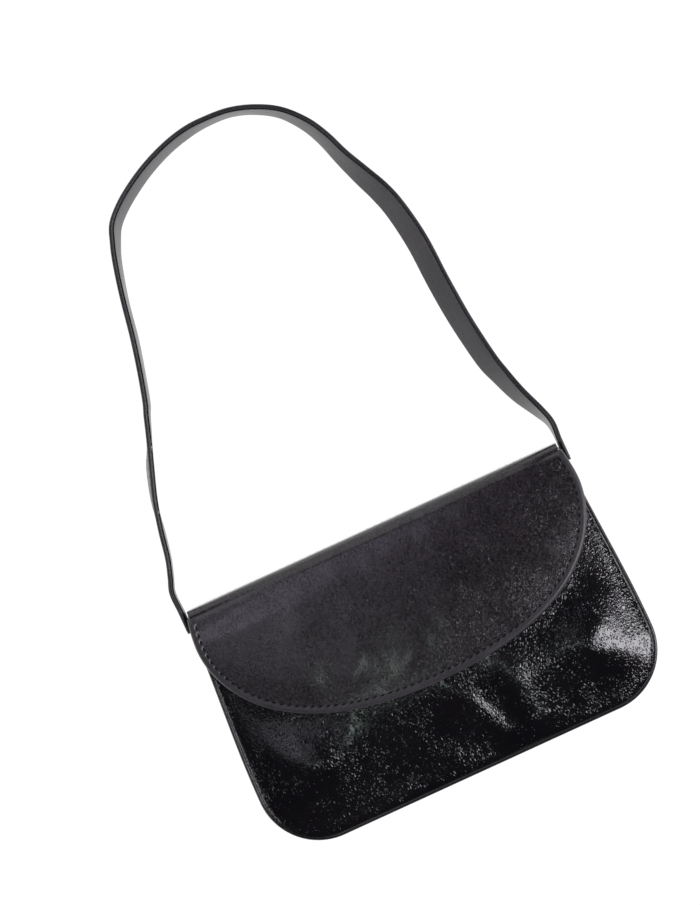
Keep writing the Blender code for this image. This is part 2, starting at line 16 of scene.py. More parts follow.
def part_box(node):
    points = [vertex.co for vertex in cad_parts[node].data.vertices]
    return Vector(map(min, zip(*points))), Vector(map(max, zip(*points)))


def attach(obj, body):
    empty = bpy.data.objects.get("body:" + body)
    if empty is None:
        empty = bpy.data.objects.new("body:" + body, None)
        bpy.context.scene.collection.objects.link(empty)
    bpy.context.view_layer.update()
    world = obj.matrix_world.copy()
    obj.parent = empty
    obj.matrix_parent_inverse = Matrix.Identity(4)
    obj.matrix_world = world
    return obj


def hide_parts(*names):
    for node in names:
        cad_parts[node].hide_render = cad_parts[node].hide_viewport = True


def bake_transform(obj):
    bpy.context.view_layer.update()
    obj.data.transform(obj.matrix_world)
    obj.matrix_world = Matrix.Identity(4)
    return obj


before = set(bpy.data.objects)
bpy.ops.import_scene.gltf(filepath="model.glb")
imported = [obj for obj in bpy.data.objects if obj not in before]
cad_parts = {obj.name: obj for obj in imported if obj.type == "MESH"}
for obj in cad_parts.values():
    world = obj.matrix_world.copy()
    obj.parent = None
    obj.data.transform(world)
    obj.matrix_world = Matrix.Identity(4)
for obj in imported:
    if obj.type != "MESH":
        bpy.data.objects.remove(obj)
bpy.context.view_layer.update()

# %% [markdown]
# ## The camera
# A flat lay is photographed from straight above with a long lens, so the
# camera looks down and its long side is the frame's height. The bag lies
# turned in the picture; turning the camera instead keeps the bag square to
# its own axes, where it is easier to model.

# %% Camera
VIEW_CENTRE = (0.0071, 0.1224)
VIEW_HEIGHT = 0.525          # what the frame's long side covers at the bag's front
VIEW_DISTANCE = 2.4
FRONT_LEVEL = 0.030
VIEW_TURN = -24.6
SENSOR = 36.0


def add_object(data):
    """Puts a mesh, a lamp or a camera into the scene under its own name."""
    made = bpy.data.objects.new(data.name, data)
    bpy.context.scene.collection.objects.link(made)
    return made


camera_data = bpy.data.cameras.new("flat_lay_camera")
camera_data.sensor_width = SENSOR
camera_data.lens = SENSOR * VIEW_DISTANCE / VIEW_HEIGHT
camera = add_object(camera_data)
camera.location = (*VIEW_CENTRE, FRONT_LEVEL + VIEW_DISTANCE)
camera.rotation_euler = (0, 0, math.radians(VIEW_TURN))
bpy.context.scene.camera = camera
bpy.context.scene.view_settings.view_transform = "Standard"
print("lens:", round(camera_data.lens, 1), "mm")

# %% [markdown]
# ## Sizes
# These repeat the pattern pieces that the solid model was cut from, in
# metres. X runs across the bag, Y towards its mouth, Z out of its front.

# %% Sizes of the body and the flap
BODY_WIDTH = 0.250
BODY_HEIGHT = 0.156
BODY_DEPTH = 0.0297
TOP = BODY_HEIGHT / 2
TAPER = 0.0053
CORNER = 0.037
CROWN = 0.007
CROWN_POWER = 2.5
PIPING = 0.0012              # radius of the piped seams
FRONT_RIM = 0.02955
SNAP_Y = 0.014
CREASE_Y = 0.0734
CREASE_Z = 0.03005
SEAM_Y = 0.0773              # the seam that the strip over the mouth turns about
SEAM_Z = 0.0022
FLAP_HALF = 0.1216
FLAP_REACH = 0.0927          # from the crease to the tip
FLAP_SHOULDER = 0.0194
FLAP_NARROWING = 0.0023
FLAP_HANDLES = (0.30, 0.85)  # straightness of the flap's curve at its sides and its tip
STITCH_PITCH = 0.0047


def half_width(y):
    """Half the body's width at a height on its straight side."""
    down = min(max((TOP - y) / (BODY_HEIGHT - CORNER), 0), 1)
    return BODY_WIDTH / 2 - TAPER * (1 + math.cos(math.pi * down)) / 2


def crown(x, y):
    """How far the front and the flap swell above their rim."""
    middle = (CREASE_Y - TOP) / 2
    reach = (CREASE_Y + TOP) / 2
    across = min(abs(x) / (BODY_WIDTH / 2), 1)
    up = min(abs(y - middle) / reach, 1)
    return CROWN * (1 - across ** CROWN_POWER) * (1 - up ** CROWN_POWER)


# %% [markdown]
# ## Pattern edges
# A leather worker cuts each piece to a line and sews along it. Here an edge
# is a row of points. One measure tells any place how far it is from the
# body's seam and how far round it lies, and another how far it is from the
# flap's edge, whose nearest point a k-d tree finds. Puckers, bellies and
# rolled edges follow them.

# %% Edges as rows of points
EDGE_STEPS = 40


def body_side(top, inset):
    """The right side from a height down to the middle of the round corner."""
    levels = [top + (CORNER - TOP - top) * i / EDGE_STEPS for i in range(EDGE_STEPS)]
    return [Vector((half_width(y) - inset, y)) for y in levels] + body_arc(inset, 0, 0.5)


def body_arc(inset, start, end):
    """Part of the round bottom corner on the right, in shares of a quarter turn."""
    centre = Vector((BODY_WIDTH / 2 - CORNER, CORNER - TOP))
    turns = [math.pi / 2 * (start + (end - start) * i / EDGE_STEPS) for i in range(EDGE_STEPS + 1)]
    return [centre + Vector((math.cos(turn), -math.sin(turn))) * (CORNER - inset)
            for turn in turns]


def mirrored(points):
    """The same points on the left, in the same order."""
    return [Vector((-point.x, point.y)) for point in points]


def body_loop(top, inset):
    """The whole seam: down the right side, along the bottom and up the left."""
    right = body_side(top, inset) + body_arc(inset, 0.5, 1)
    return right + mirrored(right)[::-1]


def seam_place(x, y):
    """Distance inwards from the body's outline, and the run along it."""
    foot = CORNER - TOP
    centre = BODY_WIDTH / 2 - CORNER
    if y < foot and abs(x) > centre:
        away = Vector((abs(x) - centre, foot - y))
        turn = math.atan2(away.y, away.x)
        return CORNER - away.length, TOP - foot + turn * CORNER
    side = half_width(y) - abs(x)
    bottom = y + TOP
    if side < bottom:
        return side, TOP - y
    return bottom, TOP - foot + math.pi / 2 * CORNER + centre - abs(x)


def bezier(a, b, c, d, t):
    """A point of a cubic curve from a to d that heads for b and comes in from c."""
    return a * (1 - t) ** 3 + b * 3 * t * (1 - t) ** 2 + c * 3 * t ** 2 * (1 - t) + d * t ** 3


def smooth(value, start, end):
    """Rises softly from 0 to 1 between two values."""
    share = min(max((value - start) / (end - start), 0), 1)
    return share * share * (3 - 2 * share)


def flap_half():
    """The flap's free edge on the right, from the crease down to the tip."""
    points = []
    for i in range(EDGE_STEPS):
        down = i / EDGE_STEPS
        x = FLAP_HALF - FLAP_NARROWING * (1 - math.sin(math.pi / 2 * down))
        points.append(Vector((x, CREASE_Y - FLAP_SHOULDER * down)))
    side = Vector((FLAP_HALF, CREASE_Y - FLAP_SHOULDER))
    tip = Vector((0, CREASE_Y - FLAP_REACH))
    side_handle = side - Vector((0, (side.y - tip.y) * FLAP_HANDLES[0]))
    tip_handle = Vector((side.x * FLAP_HANDLES[1], tip.y))
    steps = 3 * EDGE_STEPS
    return points + [bezier(side, side_handle, tip_handle, tip, i / steps)
                     for i in range(steps + 1)]


def drawn_in(path, inset):
    """Moves each point of an open clockwise path inwards, square to the path."""
    moved = []
    for i, point in enumerate(path):
        along = path[min(i + 1, len(path) - 1)] - path[max(i - 1, 0)]
        moved.append(point + Vector((along.y, -along.x)).normalized() * inset)
    return moved


def bracket(runs, want):
    """The index of the step of a rising row of numbers that holds a value."""
    return min(max(bisect_right(runs, want) - 1, 0), len(runs) - 2)


def walker(path):
    """Returns a function that gives the point at a share of a path's length."""
    runs = [0.0]
    for a, b in zip(path, path[1:]):
        runs.append(runs[-1] + (b - a).length)

    def at(share):
        want = min(max(share, 0), 1) * runs[-1]
        i = bracket(runs, want)
        step = max(runs[i + 1] - runs[i], 1e-9)
        return path[i].lerp(path[i + 1], (want - runs[i]) / step)

    at.length = runs[-1]
    return at


def outward(path, share, reach):
    """The direction out of a clockwise path, at a share of its length."""
    ahead = path(min(share + reach, 1)) - path(max(share - reach, 0))
    return Vector((-ahead.y, ahead.x)).normalized()


EDGE = walker(flap_half() + mirrored(flap_half())[-2::-1])
EDGE_MARKS = 1500
edge_points = [EDGE(mark / EDGE_MARKS) for mark in range(EDGE_MARKS + 1)]
edge_tree = KDTree(EDGE_MARKS + 1)
for mark, point in enumerate(edge_points):
    edge_tree.insert((*point, 0), mark)
edge_tree.balance()


def flap_inset(x, y):
    """Distance inwards from the flap's free edge."""
    spot, mark, away = edge_tree.find((x, y, 0))
    ahead = edge_points[min(mark + 1, EDGE_MARKS)] - edge_points[max(mark - 1, 0)]
    return math.copysign(away, (x - spot.x) * ahead.y - (y - spot.y) * ahead.x)


print("flap edge:", round(EDGE.length * 1000), "mm")

# %% [markdown]
# ## From flat grids to leather
# Every panel starts as Blender's flat grid. Its vertices are spread between
# four pattern edges, lifted to the bag's form, and the sheet gets its
# thickness with the solidify operator, which grows it away from the side
# that shows. Its cut rim is then bevelled, as a skiver rounds real leather.
# Tubes and bands are grids too, rolled round a section.

# %% Helpers that make and finish a piece
CLOTH_ROUND = 0.0001         # rounding of a thin rim


def spread(top, bottom, left, right):
    """Spans four edges; s runs from left to right and t from top to bottom."""
    def place(s, t):
        across = top(s).lerp(bottom(s), t)
        down = left(t).lerp(right(t), s)
        corners = top(0).lerp(top(1), s).lerp(bottom(0).lerp(bottom(1), s), t)
        return across + down - corners
    return place


def even_spread(top, side_path, low_path):
    """Spans a sheet with two like sides, given its top, right side and lower edge."""
    side = walker(side_path)
    return spread(lambda s: Vector(((2 * s - 1) * side(0).x, top)), walker(low_path),
                  lambda t: Vector((-side(t).x, side(t).y)), side)


def grid(columns, rows, place):
    """A grid laid out by place(s, t), both from 0 to 1."""
    mesh = bmesh.new()
    bmesh.ops.create_grid(mesh, x_segments=columns, y_segments=rows, size=1)
    for vert in mesh.verts:
        vert.co = place((vert.co.x + 1) / 2, (1 - vert.co.y) / 2)
    mesh.normal_update()
    return mesh


def thicken(mesh, thickness, rounding=0.0003):
    """Gives a sheet its thickness, away from its faces, and rounds its rim."""
    shown = set(mesh.verts)
    bmesh.ops.solidify(mesh, geom=mesh.faces[:], thickness=thickness)
    rim = {face for face in mesh.faces if 0 < sum(vert in shown for vert in face.verts) < 4}
    edges = [edge for edge in mesh.edges if sum(face in rim for face in edge.link_faces) == 1]
    bmesh.ops.bevel(mesh, geom=edges, offset=rounding, offset_type="OFFSET", segments=2,
                    profile=0.5, affect="EDGES", material=-1, clamp_overlap=True)
    return mesh


def tube(columns, sides, place):
    """A grid rolled into a tube by place(s, t), with its seam and ends closed."""
    mesh = grid(columns, sides, place)
    bmesh.ops.remove_doubles(mesh, verts=mesh.verts, dist=1e-6)
    rims = [edge for edge in mesh.edges if edge.is_boundary]
    bmesh.ops.holes_fill(mesh, edges=rims, sides=0)
    return mesh


def finish_mesh(name, mesh, material):
    """Turns a bmesh into an object with a material."""
    data = bpy.data.meshes.new(name)
    mesh.to_mesh(data)
    mesh.free()
    data.materials.append(material)
    return add_object(data)


def settle(name, mesh, material, body, nodes=()):
    """Makes a bmesh a finished piece that rides on a body, or keeps its place as it is when it is
    given two.
    """
    bmesh.ops.recalc_face_normals(mesh, faces=mesh.faces)
    piece = finish_mesh(name, mesh, material)
    piece.data.shade_smooth()
    if isinstance(body, str):
        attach(piece, body)
    else:
        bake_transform(piece)
    if nodes:
        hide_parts(*nodes)
    print(name, len(piece.data.polygons), "faces")


def cloth(name, mesh, thickness, body, nodes):
    """Thickens and settles a piece of lining."""
    settle(name, thicken(mesh, thickness, CLOTH_ROUND), LINING, body, nodes)


def ripple(x, y, width, length, height, seed):
    """Smooth random folds: so wide across, so long along the bag, so high."""
    return height * noise.noise(Vector((x / width, y / length, seed)))


def ripples(x, y, rows):
    """Folds of several sizes, one upon another."""
    return sum(ripple(x, y, *row) for row in rows)


# %% [markdown]
# ## Shader helpers
# Materials are built from nodes. Small functions keep that readable: one adds
# a node and wires its inputs, a few more give the result of one kind of node,
# and the last makes a material. It sets constant values straight on the
# shader, and wires what a look gives.

# %% Node helpers
MIDDLE = (0.5, 0.5, 0.5)
GROUP_KINDS = {float: "NodeSocketFloat", tuple: "NodeSocketColor", type(None): "NodeSocketVector"}


def node(tree, kind, inputs=(), **settings):
    """Adds a node; inputs maps a socket's name or number to a value or a socket."""
    made = tree.nodes.new(kind)
    for key, value in settings.items():
        setattr(made, key, value)
    for key, value in dict(inputs).items():
        if isinstance(value, bpy.types.NodeSocket):
            tree.links.new(value, made.inputs[key])
        else:
            made.inputs[key].default_value = value
    return made


def maths(tree, operation, first, second=0.0, third=0.0):
    """A Math node's result."""
    made = node(tree, "ShaderNodeMath", {0: first, 1: second, 2: third}, operation=operation)
    return made.outputs[0]


def vectors(tree, operation, first, second):
    """A Vector Math node's result."""
    key = "Scale" if operation == "SCALE" else 1
    made = node(tree, "ShaderNodeVectorMath", {0: first, key: second}, operation=operation)
    return made.outputs["Value" if operation == "DOT_PRODUCT" else "Vector"]


def speckle(tree, place, scale, detail=2.0, output="Fac"):
    """A Noise Texture's result."""
    inputs = {"Vector": place, "Scale": scale, "Detail": detail}
    return node(tree, "ShaderNodeTexNoise", inputs).outputs[output]


def ranged(tree, value, start, end, low=0.0, high=1.0, ease="LINEAR"):
    """Maps the range from start to end onto the range from low to high."""
    inputs = {"Value": value, "From Min": start, "From Max": end, "To Min": low, "To Max": high}
    return node(tree, "ShaderNodeMapRange", inputs, interpolation_type=ease).outputs[0]


def mixed(tree, factor, first, second):
    """A colour between two others."""
    inputs = {"Factor": factor, "A": first, "B": second}
    return node(tree, "ShaderNodeMix", inputs, data_type="RGBA").outputs["Result"]


def bumped(tree, height, distance, strength=1.0):
    """A Bump node's normal."""
    inputs = {"Strength": strength, "Distance": distance, "Height": height}
    return node(tree, "ShaderNodeBump", inputs).outputs["Normal"]


def group(name, inputs):
    """Starts a node group; its inputs have these defaults, and None stands for a place."""
    tree = bpy.data.node_groups.new(name, "ShaderNodeTree")
    for label, value in inputs.items():
        socket = tree.interface.new_socket(label, in_out="INPUT",
                                           socket_type=GROUP_KINDS[type(value)])
        if value is not None:
            socket.default_value = value
    return tree, tree.nodes.new("NodeGroupInput").outputs


def give_out(tree, results):
    """Ends a node group with its named results."""
    for label, result in results.items():
        kind = "NodeSocketColor" if result.type == "RGBA" else "NodeSocketFloat"
        tree.interface.new_socket(label, in_out="OUTPUT", socket_type=kind)
    node(tree, "NodeGroupOutput", results)
    return tree


def use(tree, made_group, inputs):
    """Places a node group in a material."""
    return node(tree, "ShaderNodeGroup", inputs, node_tree=made_group).outputs


def make_material(name, look=None, **values):
    """A material: constant values, and a look that gives sockets for other inputs."""
    made = bpy.data.materials.new(name)
    made.use_nodes = True
    tree = made.node_tree
    surface = tree.nodes["Principled BSDF"]
    for key, value in values.items():
        surface.inputs[key.replace("_", " ")].default_value = value
    if look:
        place = node(tree, "ShaderNodeTexCoord").outputs["Object"]
        for key, socket in look(tree, place).items():
            tree.links.new(socket, surface.inputs[key])
    return made


# %% [markdown]
# ## Crinkle, dye and grain
# Glossy crinkled leather has small soft pillows of about a millimetre with
# creases between them, and its dye is never quite even. Both effects come
# back in every leather of the bag at another size and strength, so each is a
# node group. Voronoi's distance to the edge draws the pillows. Its cell
# colour leans each one its own way, so that each catches the light at another
# angle, and makes some take the dye more than others. A noise pushed into the
# pattern's place first makes the creases wander.

# %% The crinkle group
WANDER = 2.2                 # how far the creases stray, in pillows
WANDER_SCALE = 0.45
PILLOW_RIM = 0.42            # where a pillow's rounded rim ends
FINE_SCALE = 2.6             # small unevenness on top of the pillows
FINE_SHARE = 0.08
CALM_RANGE = (0.40, 0.60)    # of the noise that calms the crinkle in some places
CALM_LEAST = 0.50


def crinkle_group():
    """Tilted pillows between wandering creases, calmer in some places than in others."""
    tree, given = group("crinkle", {"Vector": None, "Pillow Size": 0.0012, "Stretch": 1.0,
                                    "Tilt": 1.0, "Calm Size": 0.016})
    along = maths(tree, "DIVIDE", 1.0, given["Stretch"])
    shape = node(tree, "ShaderNodeCombineXYZ", {"X": 1.0, "Y": along, "Z": 1.0}).outputs[0]
    slim = vectors(tree, "MULTIPLY", given["Vector"], shape)
    fitted = vectors(tree, "SCALE", slim, maths(tree, "DIVIDE", 1.0, given["Pillow Size"]))
    drift = speckle(tree, fitted, WANDER_SCALE, output="Color")
    wander = vectors(tree, "SCALE", vectors(tree, "SUBTRACT", drift, MIDDLE), WANDER)
    cells = {"Vector": vectors(tree, "ADD", fitted, wander), "Scale": 1.0}
    rims = node(tree, "ShaderNodeTexVoronoi", cells, feature="DISTANCE_TO_EDGE").outputs
    pillow = ranged(tree, rims["Distance"], 0.0, PILLOW_RIM, ease="SMOOTHERSTEP")
    facets = node(tree, "ShaderNodeTexVoronoi", cells, feature="F1").outputs
    way = vectors(tree, "SUBTRACT", facets["Color"], MIDDLE)
    reach = vectors(tree, "SUBTRACT", cells["Vector"], facets["Position"])
    lean = vectors(tree, "DOT_PRODUCT", way, reach)
    domed = maths(tree, "MULTIPLY", pillow, maths(tree, "MULTIPLY_ADD", lean, given["Tilt"], 1.0))
    whole = maths(tree, "MULTIPLY_ADD", speckle(tree, fitted, FINE_SCALE), FINE_SHARE, domed)
    calm_place = vectors(tree, "SCALE", slim, maths(tree, "DIVIDE", 1.0, given["Calm Size"]))
    strength = ranged(tree, speckle(tree, calm_place, 1.0), *CALM_RANGE, CALM_LEAST)
    return give_out(tree, {
        "Height": maths(tree, "MULTIPLY", whole, strength),
        "Crease": maths(tree, "SUBTRACT", 1.0, pillow),
        "Fleck": node(tree, "ShaderNodeSeparateXYZ", {0: facets["Color"]}).outputs["Z"]})


def dye_group():
    """Uneven dye: two close tones, cloudy at one size."""
    tree, given = group("uneven_dye", {"Vector": None, "Cloud Size": 0.02,
                                       "Deep": (0.01, 0.01, 0.01, 1),
                                       "Pale": (0.02, 0.02, 0.02, 1)})
    share = maths(tree, "DIVIDE", 1.0, given["Cloud Size"])
    fitted = vectors(tree, "SCALE", given["Vector"], share)
    cloud = ranged(tree, speckle(tree, fitted, 1.0, 4.0), 0.35, 0.65)
    return give_out(tree, {"Color": mixed(tree, cloud, given["Deep"], given["Pale"]),
                           "Cloud": cloud})


CRINKLE = crinkle_group()
DYE = dye_group()
print("node groups:", CRINKLE.name, DYE.name)

# %% [markdown]
# ## The leathers
# The panels are coated until they shine like wet slate, so they are nearly
# black and show mostly what they mirror: the shader has a low roughness and
# a clear coat, and the crinkle breaks each reflection into sparks. The flap
# is the same hide worn to satin. Binding, piping and strap are smoother.

# %% Leather materials
DYE_CLOUD = 0.022
CREASE_ROUGHNESS = 0.03      # added in the creases


def leather(name, deep, pale, pillow, stretch, relief, rough, tilt=1.0, fleck=0.2, **values):
    """A dyed leather: tones, pillow size and stretch, crinkle height, roughness range."""
    def look(tree, place):
        dye = use(tree, DYE, {"Vector": place, "Cloud Size": DYE_CLOUD, "Deep": (*deep, 1),
                              "Pale": (*pale, 1)})
        skin = use(tree, CRINKLE, {"Vector": place, "Pillow Size": pillow, "Stretch": stretch,
                                   "Tilt": tilt})
        taken = ranged(tree, skin["Fleck"], 0.0, 1.0, 1 - fleck, 1 + fleck)
        worn = maths(tree, "MULTIPLY_ADD", dye["Cloud"], rough[1] - rough[0], rough[0])
        normal = bumped(tree, skin["Height"], relief)
        return {"Base Color": vectors(tree, "SCALE", dye["Color"], taken),
                "Roughness": maths(tree, "MULTIPLY_ADD", skin["Crease"], CREASE_ROUGHNESS, worn),
                "Normal": normal, "Coat Normal": normal}
    return make_material(name, look, **values)


PATENT = leather("crinkled_patent", (0.0018, 0.0014, 0.0026), (0.0034, 0.0027, 0.0040),
                 0.0015, 1.3, 0.00008, (0.09, 0.14), tilt=4.8, Coat_Weight=0.3,
                 Coat_Roughness=0.06)
PIPED = leather("piping_leather", (0.0030, 0.0025, 0.0034), (0.0060, 0.0050, 0.0064),
                0.0008, 1.0, 0.00002, (0.18, 0.26), Coat_Weight=0.3, Coat_Roughness=0.1)
SATIN = leather("satin_flap", (0.0175, 0.0142, 0.0168), (0.0235, 0.0192, 0.0228),
                0.0010, 1.2, 0.00004, (0.11, 0.16), tilt=5.5, fleck=0.6,
                Coat_Weight=0.3, Coat_Roughness=0.06)
SMOOTH = leather("smooth_trim", (0.033, 0.029, 0.033), (0.040, 0.035, 0.040),
                 0.0009, 1.0, 0.00001, (0.26, 0.34), Coat_Weight=0.1, Coat_Roughness=0.2)
STRAP_FACE = leather("strap_leather", (0.018, 0.016, 0.019), (0.026, 0.023, 0.027),
                     0.0010, 1.0, 0.00002, (0.30, 0.40), Coat_Weight=0.1, Coat_Roughness=0.25)
print("leathers:", PATENT.name, PIPED.name, SATIN.name, SMOOTH.name, STRAP_FACE.name)

# %% [markdown]
# ## Thread, lining, board and metal
# The thread is matte and blacker than the hide. The lining is a plain dark
# twill whose diagonal comes from a wave texture. The stiffeners are grey
# pressed board, and the snap is brushed steel.

# %% Other materials
def thread_look(tree, place):
    """Waxed black thread with a fine twist."""
    fuzz = speckle(tree, place, 5200.0)
    return {"Base Color": mixed(tree, fuzz, (0.001, 0.001, 0.001, 1), (0.004, 0.003, 0.004, 1)),
            "Roughness": maths(tree, "MULTIPLY_ADD", fuzz, 0.3, 0.45),
            "Normal": bumped(tree, fuzz, 0.00006, 0.6)}


def lining_look(tree, place):
    """Dark twill: diagonal ribs crossed by a finer weft."""
    rib = node(tree, "ShaderNodeTexWave", {"Vector": place, "Scale": 260.0, "Distortion": 0.6},
               wave_type="BANDS", bands_direction="DIAGONAL")
    weft = node(tree, "ShaderNodeTexWave", {"Vector": place, "Scale": 420.0, "Distortion": 0.4},
                wave_type="BANDS", bands_direction="X")
    weave = maths(tree, "MULTIPLY", rib.outputs["Fac"], weft.outputs["Fac"])
    dye = use(tree, DYE, {"Vector": place, "Cloud Size": 0.03, "Deep": (0.022, 0.020, 0.023, 1),
                          "Pale": (0.034, 0.031, 0.035, 1)})
    lit = maths(tree, "MULTIPLY", weave, 0.6)
    return {"Base Color": mixed(tree, lit, (0.012, 0.011, 0.013, 1), dye["Color"]),
            "Roughness": maths(tree, "MULTIPLY_ADD", weave, -0.15, 0.9),
            "Normal": bumped(tree, weave, 0.0001, 0.8)}


def board_look(tree, place):
    """Grey-brown pressed board with flecks of fibre."""
    fleck = speckle(tree, place, 900.0, 5.0)
    return {"Base Color": mixed(tree, fleck, (0.20, 0.17, 0.14, 1), (0.36, 0.32, 0.27, 1)),
            "Roughness": maths(tree, "MULTIPLY_ADD", fleck, 0.15, 0.8),
            "Normal": bumped(tree, fleck, 0.0001, 0.5)}


def steel_look(tree, place):
    """Nickelled steel, brushed along one direction."""
    lines = node(tree, "ShaderNodeMapping", {"Vector": place, "Scale": (300.0, 9000.0, 300.0)})
    brush = speckle(tree, lines.outputs[0], 1.0, 3.0)
    return {"Base Color": mixed(tree, brush, (0.45, 0.45, 0.46, 1), (0.62, 0.62, 0.63, 1)),
            "Roughness": maths(tree, "MULTIPLY_ADD", brush, 0.2, 0.2)}


THREAD = make_material("black_thread", thread_look, Specular_IOR_Level=0.15)
LINING = make_material("twill_lining", lining_look, Sheen_Weight=0.2)
BOARD = make_material("pressed_board", board_look)
STEEL = make_material("brushed_steel", steel_look, Metallic=1.0)
print("other materials:", THREAD.name, LINING.name, BOARD.name, STEEL.name)

# %% [markdown]
# ## The front panel
# The front is one piece of leather that swells over what the bag holds. It
# rolls down into the piped seam, puckers where the seam turns the corners,
# and has soft upright folds that break its mirror into bright streaks. Under
# the flap the snap presses a dimple into it.

# %% Front panel
FRONT_INSET = 0.0020
MOUTH_Y = TOP - 0.0075
FRONT_THICKNESS = 0.0013
FRONT_GRID = (190, 116)
BELLY_SIDE = 0.26            # rise of the free front inwards from its side seam
BELLY_FOOT = 0.09            # and from the seam at its foot
BELLY_TURN = (0.25, 0.9)     # where one passes into the other, from the side to the foot
BELLY_START = (0.004, 0.033)  # from the flap's edge, where the front comes free
BELLY_REACH = 0.038          # how far in it levels out, and how gently
BELLY_EASE = 0.004
SEAM_FALL = 0.0007           # the front rolls down into its seam, and puckers there
SEAM_REACH = 0.003
PUCKER = 0.00002
PUCKER_LENGTH = 0.0075
PUCKER_STRAIGHT = 0.35       # share of the puckers' height on the straight seams
SNAP_PRESS = 0.0025          # the snap's dimple
SNAP_SPREAD = 0.018
FRONT_SINK = 0.0004
FRONT_EASE = 0.012           # the folds start this far from the seam
FRONT_RIPPLES = ((0.030, 0.060, 0.00035, 3.1), (0.011, 0.024, 0.00012, 7.7),
                 (0.0045, 0.009, 0.00004, 1.3))
FOLDS = ((0.038, -0.053, 0.009, 0.033, 0.0020, 0), (0.046, -0.046, 0.016, 0.026, 0.0017, 0),
         (0.018, -0.055, 0.0085, 0.029, 0.0021, -0.5), (-0.013, -0.064, 0.006, 0.010, 0.0008, 0),
         (0.068, -0.054, 0.007, 0.016, 0.0004, -0.3))


def seam_roll(x, y):
    """How the front dips and puckers towards its piped seam."""
    away, run = seam_place(x, y)
    near = math.exp(-max(away - FRONT_INSET, 0) / SEAM_REACH)
    corner = abs(x) > BODY_WIDTH / 2 - CORNER * 1.2 and y < 0
    wave = PUCKER * (1 if corner else PUCKER_STRAIGHT)
    stray = 2 * noise.noise(Vector((run * 90, 1.7, 0)))
    pucker = math.sin(run * 2 * math.pi / PUCKER_LENGTH + stray)
    return -SEAM_FALL * near ** 2 + wave * near * (1 - near) * 4 * pucker


def fold_height(x, y, folds):
    """Soft ridges: centre, half width, half length, height and slant."""
    total = 0
    for middle_x, middle_y, wide, long, height, slant in folds:
        beside = (x - middle_x - slant * (y - middle_y)) / wide
        total += height * math.exp(-beside ** 2 - ((y - middle_y) / long) ** 2)
    return total


def fullness(x, y):
    """Below the flap nothing presses the front, so it bellies up from its seam."""
    free = smooth(-flap_inset(x, y), *BELLY_START)
    away = max(seam_place(x, y)[0] - FRONT_INSET, 0)
    side, foot = half_width(y) - abs(x), y + TOP
    slope = BELLY_SIDE + (BELLY_FOOT - BELLY_SIDE) * smooth(side / (side + foot), *BELLY_TURN)
    levelling = BELLY_EASE * math.log(1 + math.exp((away - BELLY_REACH) / BELLY_EASE))
    return free * (slope * (away - levelling) - crown(x, y))


def dimple(x, y):
    """The place under the snap is pressed in."""
    return -SNAP_PRESS * math.exp(-(math.hypot(x, y - SNAP_Y) / SNAP_SPREAD) ** 4)


def front_height(x, y):
    """The outer face of the front panel."""
    ease = min(max((seam_place(x, y)[0] - FRONT_INSET) / FRONT_EASE, 0), 1)
    soft = ripples(x, y, FRONT_RIPPLES) + fold_height(x, y, FOLDS) - FRONT_SINK
    form = FRONT_RIM + crown(x, y) + fullness(x, y) + dimple(x, y) + seam_roll(x, y)
    return form + ease * soft


def body_sheet(top, inset, columns, rows, height):
    """A sheet with the body's outline at a height that may change over it."""
    corner = body_arc(inset, 0.5, 1)
    flat = even_spread(top, body_side(top, inset), mirrored(corner) + corner[::-1])

    def place(s, t):
        point = flat(s, t)
        return (point.x, point.y, height(point.x, point.y))
    return grid(columns, rows, place)


front = thicken(body_sheet(MOUTH_Y, FRONT_INSET, *FRONT_GRID, front_height), FRONT_THICKNESS)
settle("front_leather", front, PATENT, "bag", ["front_panel"])

# %% [markdown]
# ## Piped seams
# A cord wrapped in leather is sewn between the front and the side band, and
# another between the band and the back. It is a tube round the body's
# outline. Its leather gathers in fine cross wrinkles where it turns.

# %% Piping
PIPING_TOP = TOP - 0.0085
PIPING_LEVEL = 0.0016        # of a cord's middle, in from the bag's two faces
PIPING_COLUMNS = 560
PIPING_SIDES = 14
GATHER = 0.035               # how deep the cross wrinkles are, as a share
GATHER_LENGTH = 0.0016


def piping_tube(height, seed):
    """A tube along the body's seam with tucked-in ends."""
    path = walker(body_loop(PIPING_TOP, PIPING))

    def place(s, t):
        end = min(s, 1 - s) * path.length / PIPING
        closing = math.sqrt(max(1 - (1 - min(end, 1)) ** 2, 0.002))
        wrinkle = noise.noise(Vector((s * path.length / GATHER_LENGTH, seed, 0)))
        radius = PIPING * closing * (1 - GATHER * wrinkle ** 2)
        turn = 2 * math.pi * t
        flat = path(s) + outward(path, s, 0.002) * radius * math.cos(turn)
        return (flat.x, flat.y, height + radius * math.sin(turn))
    return tube(PIPING_COLUMNS, PIPING_SIDES, place)


for side, level, seed in (("front", BODY_DEPTH - PIPING_LEVEL, 2.0), ("back", PIPING_LEVEL, 5.0)):
    settle(side + "_piping_cord", piping_tube(level, seed), PIPED, "bag",
           [side + "_piping"])

# %% [markdown]
# ## The side band
# The band runs down one side, under the bottom and up the other. Between its
# two seams it bellies out a little and creases across, so its grid follows
# the outline and bulges in the middle of its height.

# %% Side band and its lining
BAND_LOW = 0.0030
BAND_HIGH = BODY_DEPTH - 0.0030
BAND_THICKNESS = 0.0011
BAND_DROP = 0.0013           # from the strip over the mouth to the band's ends


def mouth_line(z):
    """Where the band ends under the strip over the mouth, at a height."""
    rise = (z - SEAM_Z) / (CREASE_Z - SEAM_Z)
    return SEAM_Y - (SEAM_Y - CREASE_Y) * rise - BAND_DROP


